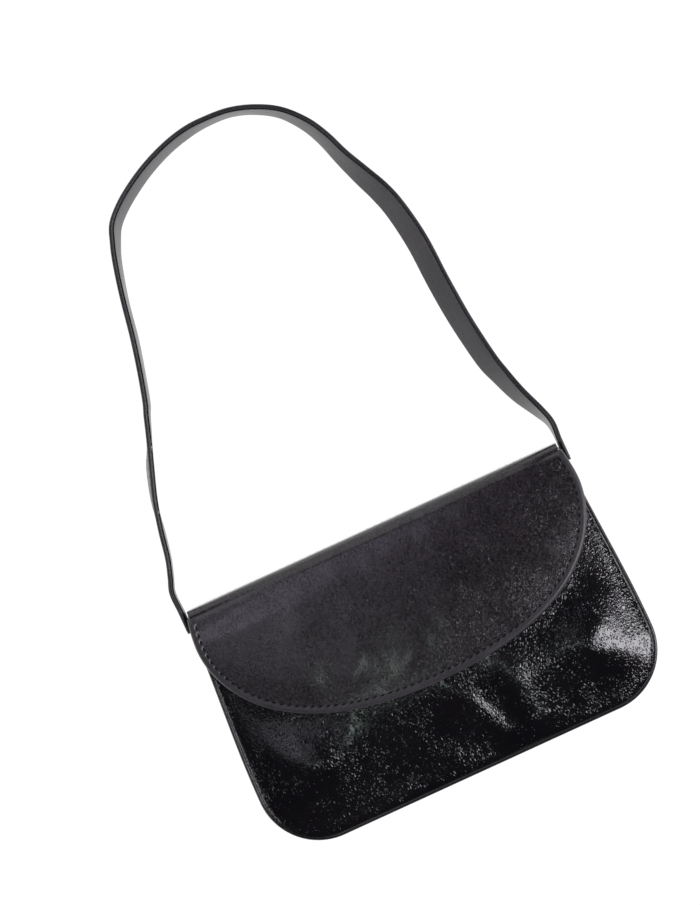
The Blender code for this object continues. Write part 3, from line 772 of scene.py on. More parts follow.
def band_grid(inset, belly, columns, rows, seed):
    """A sheet round the body between the two seams, facing outwards."""
    path = walker(body_loop(mouth_line(BAND_HIGH), 0))
    reach = walker(body_side(mouth_line(BAND_HIGH), 0)).length

    def place(s, t):
        s = 1 - s
        z = BAND_HIGH + (BAND_LOW - BAND_HIGH) * t
        share = math.sin(math.pi * t)
        wrinkle = ripple(s * path.length, z, 0.009, 0.020, 0.00022, seed) * share
        rim = inset - belly * share ** 0.7 - wrinkle
        run = min(s, 1 - s) * path.length
        lean = (mouth_line(z) - mouth_line(BAND_HIGH)) * max(1 - run / reach, 0)
        flat = path(s) - outward(path, s, 0.003) * rim
        return (flat.x, flat.y + lean, z)
    return grid(columns, rows, place)


band = thicken(band_grid(0.0013, 0.0008, 520, 26, 4.4), BAND_THICKNESS)
settle("side_band", band, SATIN, "bag", ["gusset"])
cloth("side_band_lining", band_grid(0.0036, 0.0001, 220, 10, 8.2), 0.0004, "bag",
      ["gusset_lining"])

# %% [markdown]
# ## The back and the linings
# The bag rests on its back, so that panel is flat. Inside, the front and back
# linings follow the leather, a facing finishes the front edge of the mouth,
# and a flat pocket is sewn to the back lining.

# %% Back panel, linings and facing
BACK_TOP = TOP - 0.001
BACK_THICKNESS = 0.0013
LINING_INSET = 0.0036
LINING_THICKNESS = 0.00045
BACK_LINING_DROP = 0.0032    # from the bag's top to the back lining's
BACK_LINING_LEVEL = 0.00318
FRONT_LINING_DEPTH = 0.0028  # under the front's rim
FACING_INSET = 0.0039
FACING_DEPTH = 0.00165
FACING_WIDTH = 0.0138
FACING_GAP = 0.0003          # below the front's upper edge
FACING_Y = MOUTH_Y - 0.0142

back = body_sheet(BACK_TOP, FRONT_INSET, 130, 80, lambda x, y: BACK_THICKNESS)
settle("back_leather", thicken(back, BACK_THICKNESS), PATENT, "bag",
       ["back_panel"])


def back_lining_level(x, y):
    """The back lining lies softly on its board."""
    return BACK_LINING_LEVEL + ripple(x, y, 0.02, 0.03, 0.00004, 6.0)


def front_lining_level(x, y):
    """The front lining follows the leather and its dimple."""
    return FRONT_RIM + crown(x, y) + dimple(x, y) - FRONT_LINING_DEPTH


for side, top, level in (("back", TOP - BACK_LINING_DROP, back_lining_level),
                         ("front", FACING_Y, front_lining_level)):
    cloth(side + "_lining_cloth", body_sheet(top, LINING_INSET, 100, 60, level),
          LINING_THICKNESS, "bag", [side + "_lining"])


def facing_place(s, t):
    """The strip inside the front edge of the mouth."""
    y = MOUTH_Y - FACING_GAP - FACING_WIDTH * t
    x = (2 * s - 1) * (half_width(MOUTH_Y) - FACING_INSET)
    return (x, y, FRONT_RIM + crown(x, y) - FACING_DEPTH)


settle("mouth_facing", thicken(grid(120, 12, facing_place), 0.0007, 0.0002), SMOOTH, "bag",
       ["front_facing"])

POCKET_HALF = 0.065
POCKET_TOP = TOP - 0.030
POCKET_HEIGHT = 0.085
POCKET_LEVEL = 0.0041
POCKET_SLACK = 0.0004        # how far its mouth stands open
HEM = 0.0001


def pocket_place(s, t):
    """The flat pocket, with a hem at its top and a slack mouth."""
    x = (2 * s - 1) * POCKET_HALF
    y = POCKET_TOP - POCKET_HEIGHT * t
    slack = POCKET_SLACK * math.exp(-(t / 0.2) ** 2) * (1 - abs(2 * s - 1) ** 4)
    return (x, y, POCKET_LEVEL + slack + (HEM if t < 0.12 else 0))


cloth("pocket_cloth", grid(60, 40, pocket_place), 0.0005, "bag", ["slip_pocket"])

# %% [markdown]
# ## The flap
# One sheet of leather climbs from the back seam, bends over the crease and
# falls across the front. The grid is laid in three runs of rows: the strip
# over the mouth, the roll over its front edge and the flap. At its two ends
# the crease is pinched in.

# %% Flap leather
ROLL_FOOT = Vector((0.0778, 0.0025))
ROLL = (Vector((0.0777, 0.0262)), Vector((0.0777, 0.0288)), Vector((0.0745, 0.0333)),
        Vector((0.0695, 0.0334)))
STRIP_HALF = 0.1178
FLAP_COLUMNS = 250
STRIP_ROWS = 12
ROLL_ROWS = 24
FLAP_ROWS = 100
FLAP_THICKNESS = 0.0009
FLAP_INSET = 0.0022          # the leather ends inside the binding
FLAP_FACE = 0.0032           # the flap's face above the rim of its underside
STITCH_INSET = 0.0047
FLAP_EASE = 0.022            # the folds are full this far from the edge
CREASE_EASE = 0.012          # and this far from the crease
CROWDING = 0.55              # how much closer the grid's lines lie beside the binding
FLAP_PRESS = 0.0010          # the flap lies lower in its upper left corner
VALLEY_Y = 0.0728            # the crease behind the flap, pinched in at its two ends
VALLEY_WIDTH = 0.0013
VALLEY_DEPTHS = (0.0012, 0.0013)
FLAP_RIPPLES = ((0.028, 0.050, 0.00024, 12.3), (0.012, 0.034, 0.00013, 4.9),
                (0.0045, 0.008, 0.00004, 9.4))
FLAP_FOLDS = (
    (-0.042, 0.006, 0.010, 0.020, 0.00045, 0.6), (0.020, 0.020, 0.010, 0.022, 0.0004, 0.5),
    (-0.072, 0.008, 0.009, 0.016, 0.0003, 0.6), (0.060, 0.026, 0.012, 0.020, 0.0003, 0.4),
    (-0.010, 0.000, 0.008, 0.016, 0.0003, 0.6), (-0.062, 0.040, 0.016, 0.020, 0.0003, 0.8))


def stitch_pull(run):
    """From 0 between two stitches to 1 in the middle of one."""
    return 0.5 + 0.5 * math.cos(2 * math.pi * run / STITCH_PITCH)


def flap_height(x, y):
    """The outer face of the flap."""
    soft = ripples(x, y, FLAP_RIPPLES) + fold_height(x, y, FLAP_FOLDS)
    ease = (smooth(flap_inset(x, y), STITCH_INSET, FLAP_EASE)
            * smooth(CREASE_Y - y, 0, CREASE_EASE))
    press = FLAP_PRESS * smooth(-x, 0.030, 0.110) * smooth(y, 0.054, 0.068)
    return CREASE_Z + FLAP_FACE + crown(x, y) + ease * soft - press


def flap_spread(inset, start_y):
    """Spans the flap below the bend; its side turns into its lower edge where it is roundest."""
    right = [point for point in drawn_in(flap_half(), inset) if point.y < start_y]
    right[-1].x = 0
    split = max(range(len(right)), key=lambda i: right[i].x * 0.7 - right[i].y)
    low = right[split:]
    return even_spread(start_y, right[:split + 1], mirrored(low) + low[::-1])


flap_flat = flap_spread(FLAP_INSET, ROLL[3].x)


def valley(x, y):
    """How deep the pinched crease is at a place."""
    right, left = VALLEY_DEPTHS
    depth = right * smooth(x, 0.098, 0.114) + left * smooth(-x, 0.055, 0.112)
    return depth * math.exp(-((y - VALLEY_Y) / VALLEY_WIDTH) ** 2)


def flap_leather_place(s, t):
    """The whole sheet: strip over the mouth, roll and flap."""
    row = t * (STRIP_ROWS + ROLL_ROWS + FLAP_ROWS)
    s -= CROWDING * math.sin(2 * math.pi * s) / (2 * math.pi)
    x = (2 * s - 1) * STRIP_HALF
    if row < STRIP_ROWS:
        share = row / STRIP_ROWS
        point = ROLL_FOOT.lerp(ROLL[0], share)
        soft = ripple(x, point.y, 0.016, 0.020, 0.00015, 5.5) * math.sin(math.pi * share)
        return (x, point.x + soft, point.y)
    if row <= STRIP_ROWS + ROLL_ROWS:
        share = (row - STRIP_ROWS) / ROLL_ROWS
        point = bezier(*ROLL, share)
        lift = flap_height(x, ROLL[3].x) - ROLL[3].y
        wave = ripple(x, share, 0.007, 0.5, 0.00012, 2.6) * math.sin(math.pi * share)
        return (x, point.x + wave, point.y + lift * share ** 2 - valley(x, point.x) + wave)
    share = (row - STRIP_ROWS - ROLL_ROWS) / FLAP_ROWS
    point = flap_flat(s, share + CROWDING * math.sin(math.pi * share) / math.pi)
    return (point.x, point.y, flap_height(point.x, point.y) - valley(point.x, point.y))


FLAP_BEND = ("flap_top", "flap", (0, 0.0749, 0.0275), (0, 0.0705, 0.0345))
rows = STRIP_ROWS + ROLL_ROWS + FLAP_ROWS
flap = thicken(grid(FLAP_COLUMNS, rows, flap_leather_place), FLAP_THICKNESS)
settle("flap_leather", flap, SATIN, FLAP_BEND, ["flap_panel", "flap_bridge"])

# %% Flap lining
LINING_START_Y = 0.0706
LINING_HALF = 0.1180
LINING_RISE = 0.00067        # above the rim of the flap's underside
TURN_SHARE = 0.3             # of the lining's rows that lie inside the strip
LINING_TURN = [Vector((0.0763, 0.0027)), Vector((0.0728, 0.0278)), Vector((0.0725, 0.0291)),
               Vector((0.0719, 0.0300)), Vector((0.0713, 0.0305))]
lining_flat = flap_spread(0.0020, LINING_START_Y)
lining_walk = walker(LINING_TURN)


def lining_height(x, y):
    """The flap's underside."""
    return CREASE_Z + LINING_RISE + crown(x, y)


def flap_lining_place(s, t):
    """The lining inside the strip over the mouth and under the flap."""
    if t < TURN_SHARE:
        x = (1 - 2 * s) * LINING_HALF
        point = lining_walk(t / TURN_SHARE)
        level = lining_height(x, LINING_START_Y) - lining_walk(1).y
        return (x, point.x, point.y + level * (t / TURN_SHARE) ** 8)
    point = lining_flat(1 - s, (t - TURN_SHARE) / (1 - TURN_SHARE))
    return (point.x, point.y, lining_height(point.x, point.y))


cloth("flap_lining_cloth", grid(120, 90, flap_lining_place), LINING_THICKNESS, FLAP_BEND,
      ["flap_lining", "flap_bridge_lining"])

# %% [markdown]
# ## The bound edge and its stitches
# A narrow strip of smooth leather is folded round the flap's free edge and
# sewn through along its inner side. It is a grid whose rows run round the
# fold. Between two stitches the leather puffs up, and each stitch pulls it
# down, so the columns are spaced to a fraction of the stitch. A stitch is a
# small flattened ball of thread, a little askew, sunk in its own pit.

# %% Binding
BINDING = 0.0042
BINDING_TOP = 0.0037
BINDING_ROUND = 0.0013
BINDING_COLUMNS = 900
BINDING_STRAY = 0.00006
EDGE_REACH = 0.004           # share of the edge that its direction is taken over
CORNER_SINK = 101            # how sharply the bound edge dips beside the crease's two ends
SINK_Y = 0.0693
# Inset and height from the inner rim outwards, and how far a stitch pulls them down.
BINDING_RIM = (
    (BINDING + 0.0008, FLAP_FACE - 0.00030, 0), (BINDING + 0.0004, FLAP_FACE + 0.00005, 0.00040),
    (BINDING, FLAP_FACE + 0.00016, 0.00048), (BINDING - 0.0004, FLAP_FACE + 0.00030, 0.00032),
    (BINDING - 0.0010, BINDING_TOP - 0.00012, 0.00008),
    (BINDING - 0.0018, BINDING_TOP - 0.00004, 0))


def binding_section(pull):
    """Insets and heights from the top inner rim, round the edge, to the bottom one."""
    half = BINDING_TOP / 2
    section = [(inset, height - drop * pull) for inset, height, drop in BINDING_RIM]
    for i in range(11):
        turn = math.pi / 2 - math.pi * i / 10
        section.append((BINDING_ROUND * (1 - math.cos(turn)), half + half * math.sin(turn)))
    return section + [(BINDING - 0.0012, 0.0), (BINDING, 0.0001)]


BINDING_ROWS = len(binding_section(0)) - 1


def edge_point(share, inset):
    """A place inside the flap's edge, and the level of the underside's rim there."""
    flat = EDGE(share) - outward(EDGE, share, EDGE_REACH) * inset
    return flat, CREASE_Z + crown(flat.x, flat.y) - CORNER_SINK * max(flat.y - SINK_Y, 0) ** 2


def binding_place(s, t):
    """The folded strip, pulled down at each stitch; its faces look outwards."""
    s = 1 - s
    run = s * EDGE.length
    inset, height = binding_section(stitch_pull(run))[round(t * BINDING_ROWS)]
    stray = BINDING_STRAY * noise.noise(Vector((run / 0.006, t * 2, 3.3)))
    flat, level = edge_point(s, inset + stray)
    return (flat.x, flat.y, level + height)


binding = thicken(grid(BINDING_COLUMNS, BINDING_ROWS, binding_place), 0.0004, CLOTH_ROUND)
settle("flap_binding", binding, SMOOTH, FLAP_BEND, ["flap_edge_band"])

# %% Stitches
STITCH_SIZE = Vector((0.00135, 0.00055, 0.00026))
STITCH_SKEW = math.radians(9)
STITCH_LINE_INSET = 0.0043
STITCH_CLEAR = 0.002         # from a straight seam's ends
THREAD_HIGH = 0.00004        # a stitch's middle above the leather, and on soft pieces
THREAD_LOW = 0.00002
UP = Vector((0, 0, 1))


def sew(name, spots, body, size=STITCH_SIZE):
    """A stitch at each spot, which is its place, its direction and its upward normal."""
    mesh = bmesh.new()
    for place, along, up in spots:
        along = along.normalized()
        side = up.cross(along).normalized()
        turn = Matrix((along, side, along.cross(side))).transposed().to_4x4()
        matrix = Matrix.Translation(place) @ turn @ Matrix.Rotation(STITCH_SKEW, 4, "Z")
        matrix = matrix @ Matrix.Diagonal((*size, 1))
        bmesh.ops.create_uvsphere(mesh, u_segments=6, v_segments=4, radius=1, matrix=matrix)
    settle(name, mesh, THREAD, body)


def straight_spots(start, end, up):
    """Stitches along a straight line, clear of its two ends."""
    run = end - start
    count = int((run.length - 2 * STITCH_CLEAR) / STITCH_PITCH)
    along = run.normalized()
    first = (run.length - (count - 1) * STITCH_PITCH) / 2
    return [(start + along * (first + i * STITCH_PITCH), along, up) for i in range(count)]


def edge_spots():
    """Along the binding's inner side."""
    for i in range(1, int(EDGE.length / STITCH_PITCH)):
        share = i * STITCH_PITCH / EDGE.length
        flat, level = edge_point(share, STITCH_LINE_INSET)
        out = outward(EDGE, share, EDGE_REACH)
        spot = Vector((flat.x, flat.y, level + FLAP_FACE + THREAD_HIGH))
        yield spot, Vector((out.y, -out.x, 0)), UP


sew("flap_stitches", edge_spots(), FLAP_BEND)

seam_end = Vector((STRIP_HALF - 0.001, 0.0776, 0.0052))
sew("mouth_seam_stitches",
    straight_spots(seam_end * Vector((-1, 1, 1)), seam_end, Vector((0, 0.99, 0.14))), "flap_top")

# %% Stitches of the front and the pocket
MOUTH_STITCHES = 48
MOUTH_STITCH_DROP = 0.0024
STEP = 0.001                 # for a slope along the mouth
POCKET_HEM = 0.0015


def mouth_spots():
    """Along the front's upper edge."""
    y = MOUTH_Y - MOUTH_STITCH_DROP
    for i in range(MOUTH_STITCHES):
        x = (i - (MOUTH_STITCHES - 1) / 2) * STITCH_PITCH
        level = front_height(x, y)
        ahead = Vector((STEP, 0, front_height(x + STEP, y) - level))
        yield Vector((x, y, level + THREAD_LOW)), ahead, UP


sew("mouth_stitches", mouth_spots(), "bag")

pocket_side = POCKET_HALF - POCKET_HEM
pocket_foot = POCKET_TOP - POCKET_HEIGHT + POCKET_HEM
corners = [Vector((x, y, POCKET_LEVEL + THREAD_LOW)) for x, y in (
    (-pocket_side, POCKET_TOP), (-pocket_side, pocket_foot),
    (pocket_side, pocket_foot), (pocket_side, POCKET_TOP))]
sew("pocket_stitches",
    [spot for a, b in zip(corners, corners[1:]) for spot in straight_spots(a, b, UP)], "bag")

# %% [markdown]
# ## The magnetic snap
# Each half is turned from a profile: a few vertices drawn as one chain and
# spun round the snap's axis. The front half has a well, and the flap's half
# a nub that drops into it.

# %% Snap
SNAP_STEPS = 64
SOCKET_RADIUS = 0.0080
SOCKET_HEIGHT = 0.0017
WELL_RADIUS = 0.0034
WELL_DEPTH = 0.0012
STUD_RADIUS = 0.0075
STUD_PLATE = 0.0008
NUB_RADIUS = 0.0028
NUB_HEIGHT = 0.0009
POST = 0.0015                # a post's radius, and the socket's post's length
CHAMFER = 0.0002


def lathe(profile):
    """Spins a chain of radius and height pairs round the snap's axis."""
    mesh = bmesh.new()
    points = [mesh.verts.new((radius, SNAP_Y, height)) for radius, height in profile]
    chain = [mesh.edges.new(pair) for pair in zip(points, points[1:])]
    bmesh.ops.spin(mesh, geom=chain, cent=(0, SNAP_Y, 0), axis=(0, 0, 1),
                   angle=2 * math.pi, steps=SNAP_STEPS, use_merge=True)
    bmesh.ops.remove_doubles(mesh, verts=mesh.verts, dist=1e-6)
    bmesh.ops.dissolve_degenerate(mesh, edges=mesh.edges, dist=1e-7)
    return mesh


socket_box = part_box("snap_socket")
high = socket_box[1].z
low = high - SOCKET_HEIGHT
socket_profile = [
    (0, low - POST), (POST, low - POST), (POST, low), (SOCKET_RADIUS - 0.0003, low),
    (SOCKET_RADIUS, low + 0.0003), (SOCKET_RADIUS, high - 0.0006),
    (SOCKET_RADIUS - 0.0003, high - CHAMFER), (SOCKET_RADIUS - 0.0009, high),
    (WELL_RADIUS + 0.0006, high), (WELL_RADIUS + CHAMFER, high - CHAMFER),
    (WELL_RADIUS, high - 0.0006), (WELL_RADIUS, high - WELL_DEPTH), (0, high - WELL_DEPTH)]
settle("snap_socket_cap", lathe(socket_profile), STEEL, "bag", ["snap_socket"])
stud_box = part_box("snap_stud")
low = stud_box[0].z
plate = low + NUB_HEIGHT
stud_profile = [
    (0, low), (NUB_RADIUS - 0.0005, low), (NUB_RADIUS - 0.0001, low + CHAMFER),
    (NUB_RADIUS, low + 0.0005), (NUB_RADIUS, plate), (STUD_RADIUS - 0.0006, plate),
    (STUD_RADIUS - CHAMFER, plate + 0.0001), (STUD_RADIUS, plate + 0.0004),
    (STUD_RADIUS, plate + STUD_PLATE), (POST, plate + STUD_PLATE), (POST, stud_box[1].z),
    (0, stud_box[1].z)]
settle("snap_stud_cap", lathe(stud_profile), STEEL, "flap", ["snap_stud"])

# %% [markdown]
# ## The strap
# The strap is one flat strip: outer leather wrapped round both edges, and a
# lining strip on its inner face. It is sewn flat to the side band, and from
# there it stands on its lower edge and leans outwards as it runs round the
# loop. The stations below are the solid model's. Rings lie close together
# just above the sewn ends, where the strap bends when it is folded up.

# %% The strap's line
STRAP_WIDTH = 0.018
STRAP_THICKNESS = 0.003
STRAP_REACH = 0.2546
STRAP_SEWN = 0.0137
STRAP_START_Y = 0.07915
STRAP_END_HEIGHT = 0.008
STRAP_DROP_LENGTH = 0.024
STRAP_SINK = 0.0003          # how far the sewn ends press into the band
STRAP_MIDDLE = half_width(TOP - STRAP_SEWN) - STRAP_SINK + STRAP_THICKNESS / 2
STATIONS = (
    (1.000, 0.000, 0), (0.998, 0.041, 6), (0.970, 0.077, 14), (0.915, 0.132, 24),
    (0.875, 0.187, 31), (0.844, 0.238, 37), (0.811, 0.339, 40), (0.792, 0.435, 42),
    (0.779, 0.545, 42), (0.750, 0.632, 40), (0.716, 0.686, 38), (0.669, 0.738, 33),
    (0.619, 0.795, 24), (0.575, 0.853, 19), (0.522, 0.901, 15), (0.438, 0.947, 10),
    (0.331, 0.978, 7), (0.215, 0.996, 6), (0.093, 1.000, 8), (-0.013, 0.996, 12),
    (-0.131, 0.982, 13), (-0.255, 0.958, 14), (-0.357, 0.931, 15), (-0.447, 0.901, 15),
    (-0.515, 0.869, 14), (-0.552, 0.832, 10), (-0.578, 0.798, 7), (-0.605, 0.749, 5),
    (-0.631, 0.692, 4), (-0.669, 0.594, 4), (-0.730, 0.478, 3), (-0.760, 0.440, 1),
    (-0.809, 0.376, -3), (-0.852, 0.327, -9), (-0.899, 0.256, -6), (-0.925, 0.193, 0),
    (-0.952, 0.125, 0), (-0.980, 0.081, 0), (-1.003, 0.046, 0), (-1.000, 0.000, 0))
STATION_STEPS = 10
RING_STEP = 0.00105
FOLD_RINGS = 17              # close rings above each sewn end
FOLD_STEP = 0.0002
RING_LEAST = 0.00009         # rings closer than this become one


def strap_stations():
    """The stations joined by one smooth curve, as x, y and lean."""
    knots = [Vector((STRAP_MIDDLE * across, STRAP_START_Y + STRAP_REACH * along,
                     math.radians(lean))) for across, along, lean in STATIONS]
    lead_in = Vector((knots[0].x, 2 * knots[0].y - knots[1].y, knots[0].z))
    lead_out = Vector((knots[-1].x, 2 * knots[-1].y - knots[-2].y, knots[-1].z))
    row = [lead_in] + knots + [lead_out]
    curve = []
    for a, b, c, d in zip(row, row[1:], row[2:], row[3:]):
        for i in range(STATION_STEPS):
            t = i / STATION_STEPS
            bend = (a * -1 + b * 3 - c * 3 + d) * t ** 3 + (a * 2 - b * 5 + c * 4 - d) * t ** 2
            curve.append(b + ((c - a) * t + bend) / 2)
    return curve + [knots[-1]]


def strap_frames():
    """Rows of run, centre, width direction and outward direction."""
    stations = strap_stations()
    runs = [STRAP_SEWN]
    for a, b in zip(stations, stations[1:]):
        runs.append(runs[-1] + (b - a).to_2d().length)
    rows = []
    for i, station in enumerate(stations):
        if i in (0, len(stations) - 1):
            along = Vector((0, 1 if i == 0 else -1))
        else:
            along = (stations[i + 1] - stations[i - 1]).to_2d().normalized()
        out = Vector((along.y, -along.x, 0))
        lean = station.z
        width = out * math.sin(lean) + Vector((0, 0, math.cos(lean)))
        depth = out * math.cos(lean) - Vector((0, 0, math.sin(lean)))
        from_end = min(runs[i] - runs[0], runs[-1] - runs[i])
        low = STRAP_END_HEIGHT * (1 - smooth(from_end, 0, STRAP_DROP_LENGTH))
        half = STRAP_WIDTH / 2 * math.cos(lean) + STRAP_THICKNESS / 2 * abs(math.sin(lean))
        rows.append((runs[i], Vector((station.x, station.y, low + half)), width, depth))
    sewn = [(Vector((centre.x, STRAP_START_Y - STRAP_SEWN, centre.z)), width, depth)
            for run, centre, width, depth in (rows[0], rows[-1])]
    return [(0.0, *sewn[0])] + rows + [(runs[-1] + STRAP_SEWN, *sewn[1])]


STRAP_ROWS = strap_frames()
STRAP_RUNS = [row[0] for row in STRAP_ROWS]
STRAP_LENGTH = STRAP_RUNS[-1]


def strap_at(run):
    """The strap's centre and directions at a run along it."""
    i = bracket(STRAP_RUNS, run)
    a, b = STRAP_ROWS[i:i + 2]
    share = (run - a[0]) / (b[0] - a[0])
    centre, width, depth = (a[k].lerp(b[k], share) for k in (1, 2, 3))
    return centre, width.normalized(), depth.normalized()


def strap_rings():
    """Runs of the rings: even, and close together where the strap folds."""
    rings = [i * RING_STEP for i in range(int(STRAP_LENGTH / RING_STEP) + 1)] + [STRAP_LENGTH]
    for i in range(FOLD_RINGS):
        rings += [STRAP_SEWN + i * FOLD_STEP, STRAP_LENGTH - STRAP_SEWN - i * FOLD_STEP]
    rings.sort()
    return [a for a, b in zip(rings, rings[1:] + [1]) if b - a > RING_LEAST]


RINGS = strap_rings()
print("strap length:", round(STRAP_LENGTH * 1000), "mm,", len(RINGS), "rings")

# %% Strap leather
STITCH_LINE = 0.0070         # from the strap's middle line
EDGE_ROUND = 0.0012
FACE_OUT = 0.0015
FACE_IN = -0.0010
STRIP_RISE = 0.0003          # the strip on the strap's inner face above the leather
STRIP_FACE = FACE_IN - STRIP_RISE
STRIP_WIDTH = 0.0158
STRIP_INSET = 0.0015         # from the strap's two ends
END_STITCH = 0.0022          # the cross stitches, from the same ends
PUFF = 0.00012               # how far the strap swells and waves
PUFF_START = (0.035, 0.060)  # from its ends, which stay flat
LINE_SINK = 0.00008          # under a stitch line, and more under each stitch
STITCH_SINK = 0.00016
LINE_HALF = 0.0005
SEAM_ROWS = 0.0006           # the section's points stand this far beside a stitch line
INNER_ROW = 0.003
END_SHARE = 0.18             # how much narrower the strap's two ends become, and where
END_ROUND = 0.003
SLOPE_STEP = 0.001
STRAP_BEND = ("bag", "strap", (0, 0.0790, 0.017), (0, 0.0822, 0.017))


def strap_section():
    """Width and depth round the outer leather, wrapped over both edges."""
    half = STRAP_WIDTH / 2
    middle = (FACE_OUT + FACE_IN) / 2
    deep = (FACE_OUT - FACE_IN) / 2
    rows = [STITCH_LINE + SEAM_ROWS, STITCH_LINE, STITCH_LINE - SEAM_ROWS, INNER_ROW]
    rows += [-row for row in reversed(rows)]
    points = []
    for side in (1, -1):
        for i in range(7):
            turn = math.pi / 2 - math.pi * i / 6
            points.append((side * (half - EDGE_ROUND + EDGE_ROUND * math.cos(turn)),
                           middle + side * deep * math.sin(turn)))
        points += [(side * row, FACE_IN if side == 1 else FACE_OUT) for row in rows]
    return points


SECTION = strap_section()


def strap_point(run, wide, deep):
    """A place on the strap, sunk along its stitch lines and softly wavy."""
    centre, width, depth = strap_at(run)
    beside = math.exp(-((abs(wide) - STITCH_LINE) / LINE_HALF) ** 2)
    sunk = beside * (LINE_SINK + STITCH_SINK * stitch_pull(run))
    free = PUFF * smooth(min(run, STRAP_LENGTH - run), *PUFF_START)
    full = free * math.cos(math.pi * wide / STRAP_WIDTH)
    sign = 1 if deep > 0 else -1
    wave = free * noise.noise(Vector((run / 0.02, wide / 0.012, 6.6)))
    return centre + width * wide + depth * (deep + sign * (full - sunk) + wave)


def strap_place(s, t):
    """The outer leather as a tube of flat section."""
    run = RINGS[round(s * (len(RINGS) - 1))]
    wide, deep = SECTION[round(t * len(SECTION)) % len(SECTION)]
    end = min(run, STRAP_LENGTH - run)
    narrow = 1 - END_SHARE * max(1 - end / END_ROUND, 0) ** 2
    return strap_point(run, wide * narrow, deep)


settle("strap_leather", tube(len(RINGS) - 1, len(SECTION), strap_place), STRAP_FACE, STRAP_BEND,
       ["strap_outer", "strap_end_left", "strap_end_right"])


def strap_lining_place(s, t):
    """The strip on the strap's inner face, a little narrower than the strap."""
    share = RINGS[round(s * (len(RINGS) - 1))] / STRAP_LENGTH
    run = STRIP_INSET + share * (STRAP_LENGTH - 2 * STRIP_INSET)
    return strap_point(run, (0.5 - t) * STRIP_WIDTH, STRIP_FACE)


lining_strip = thicken(grid(len(RINGS) - 1, 12, strap_lining_place), 0.0004, CLOTH_ROUND)
settle("strap_lining_strip", lining_strip, SMOOTH, STRAP_BEND, ["strap_lining"])


def strap_spots():
    """Along both edges of both faces, and three across each end."""
    for i in range(1, int(STRAP_LENGTH / STITCH_PITCH)):
        run = i * STITCH_PITCH
        depth = strap_at(run)[2]
        after = strap_at(min(run + SLOPE_STEP, STRAP_LENGTH))[0]
        ahead = after - strap_at(run - SLOPE_STEP)[0]
        for side in (1, -1):
            for face, out in ((FACE_OUT, depth), (STRIP_FACE, -depth)):
                yield strap_point(run, side * STITCH_LINE, face) + out * THREAD_HIGH, ahead, out
    for run in (END_STITCH, STRAP_LENGTH - END_STITCH):
        width, depth = strap_at(run)[1:]
        for i in (-1, 0, 1):
            yield strap_point(run, i * STITCH_PITCH, FACE_OUT) + depth * THREAD_LOW, width, depth


sew("strap_stitches", strap_spots(), STRAP_BEND, STITCH_SIZE * 0.9)

# %% [markdown]
# ## What stays from the solid model
# The stiffeners and washers are hard and hidden, and their shape is right as
# it is. They only need their finish.

# %% Materials for the kept solids
for finish, names in ((BOARD, ("back_board", "base_board", "flap_board", "strap_filler")),
                      (STEEL, ("snap_socket_washer", "snap_stud_washer"))):
    for name in names:
        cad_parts[name].data.materials.clear()
        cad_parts[name].data.materials.append(finish)
print("kept solids dressed")

# %% [markdown]
# ## Floor and light
# The table is white and evenly bright, so most of its brightness is its own
# and shadows stay faint. Black gloss shows only what it mirrors, and a patch
# that leans by some angle mirrors what stands at twice that angle. A dim sky
# straight above keeps the faces dark, and a bright horizon draws thin lines
# along every rolled edge. The window on the right puts sparks on the crinkles
# where the front leans to the right, and a small greenish ceiling lamp does it
# on the flap. Cool panels behind and on the left lift the flap's upper left,
# and two low walls of light run along the edges.

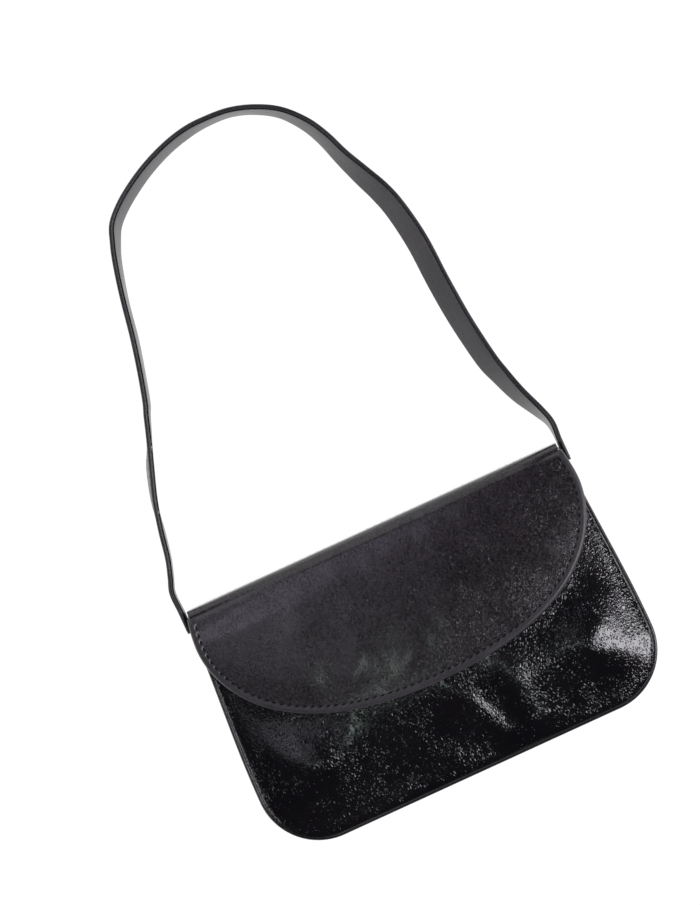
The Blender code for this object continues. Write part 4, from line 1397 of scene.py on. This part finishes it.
# %% Floor
FLOOR_SIZE = 6.0
FLOOR_GAP = 0.0004           # below the bag's back
floor_mesh = bmesh.new()
bmesh.ops.create_grid(floor_mesh, x_segments=1, y_segments=1, size=FLOOR_SIZE)
bmesh.ops.translate(floor_mesh, verts=floor_mesh.verts, vec=(0, 0, -FLOOR_GAP))
table = make_material("white_table", Base_Color=(0.12, 0.12, 0.12, 1), Roughness=0.8,
                 Emission_Color=(1, 1, 1, 1), Emission_Strength=0.97)
floor = finish_mesh("white_table", floor_mesh, table)

# %% Sky and lamps
world = bpy.data.worlds.new("studio")
world.use_nodes = True
bpy.context.scene.world = world
sky = world.node_tree
direction = node(sky, "ShaderNodeTexCoord").outputs["Generated"]
upward = node(sky, "ShaderNodeSeparateXYZ", {0: direction}).outputs["Z"]
fade = ranged(sky, upward, 0.05, 0.55, ease="SMOOTHSTEP")
tint = mixed(sky, fade, (0.95, 0.97, 1.0, 1), (0.055, 0.052, 0.06, 1))
sky.links.new(tint, sky.nodes["Background"].inputs["Color"])


def lamp(name, aim, over, distance, size, radiance, colour):
    """A soft panel over the bag, at angles towards +X and +Y from straight above."""
    data = bpy.data.lights.new(name, "AREA")
    data.shape = "RECTANGLE"
    data.size, data.size_y = size
    data.energy = radiance * math.pi * size[0] * size[1]
    data.color = colour
    made = add_object(data)
    away = Vector((math.tan(math.radians(over[0])), math.tan(math.radians(over[1])), 1))
    away.normalize()
    made.location = Vector(aim) + away * distance
    made.rotation_mode = "QUATERNION"
    made.rotation_quaternion = away.to_track_quat("Z", "Y")


lamp("window", (0.05, -0.02, 0.03), (30, -15), 2.0, (0.54, 0.94), 10, (0.96, 0.95, 1.0))
lamp("ceiling", (0, 0, 0.03), (-4, -3), 2.6, (0.17, 0.22), 4.0, (0.84, 1.0, 0.90))
lamp("cool_panel", (0, 0.05, 0.03), (-11, 21), 2.0, (0.80, 0.46), 1.3, (0.86, 0.81, 1.0))
lamp("back_panel", (0, 0.07, 0.03), (-25, 52), 2.0, (1.7, 1.2), 0.9, (1.0, 0.97, 1.0))
lamp("left_panel", (0, 0.03, 0.03), (-13, 9), 2.0, (0.58, 0.56), 0.6, (0.92, 0.90, 1.0))
lamp("right_wall", (0, 0.0, 0.03), (68, -20), 1.6, (1.2, 0.5), 3.2, (0.92, 0.97, 1.0))
lamp("left_wall", (0, 0.0, 0.03), (-64, -8), 1.6, (1.2, 0.4), 2.6, (0.96, 0.96, 1.0))
print("lamps placed")
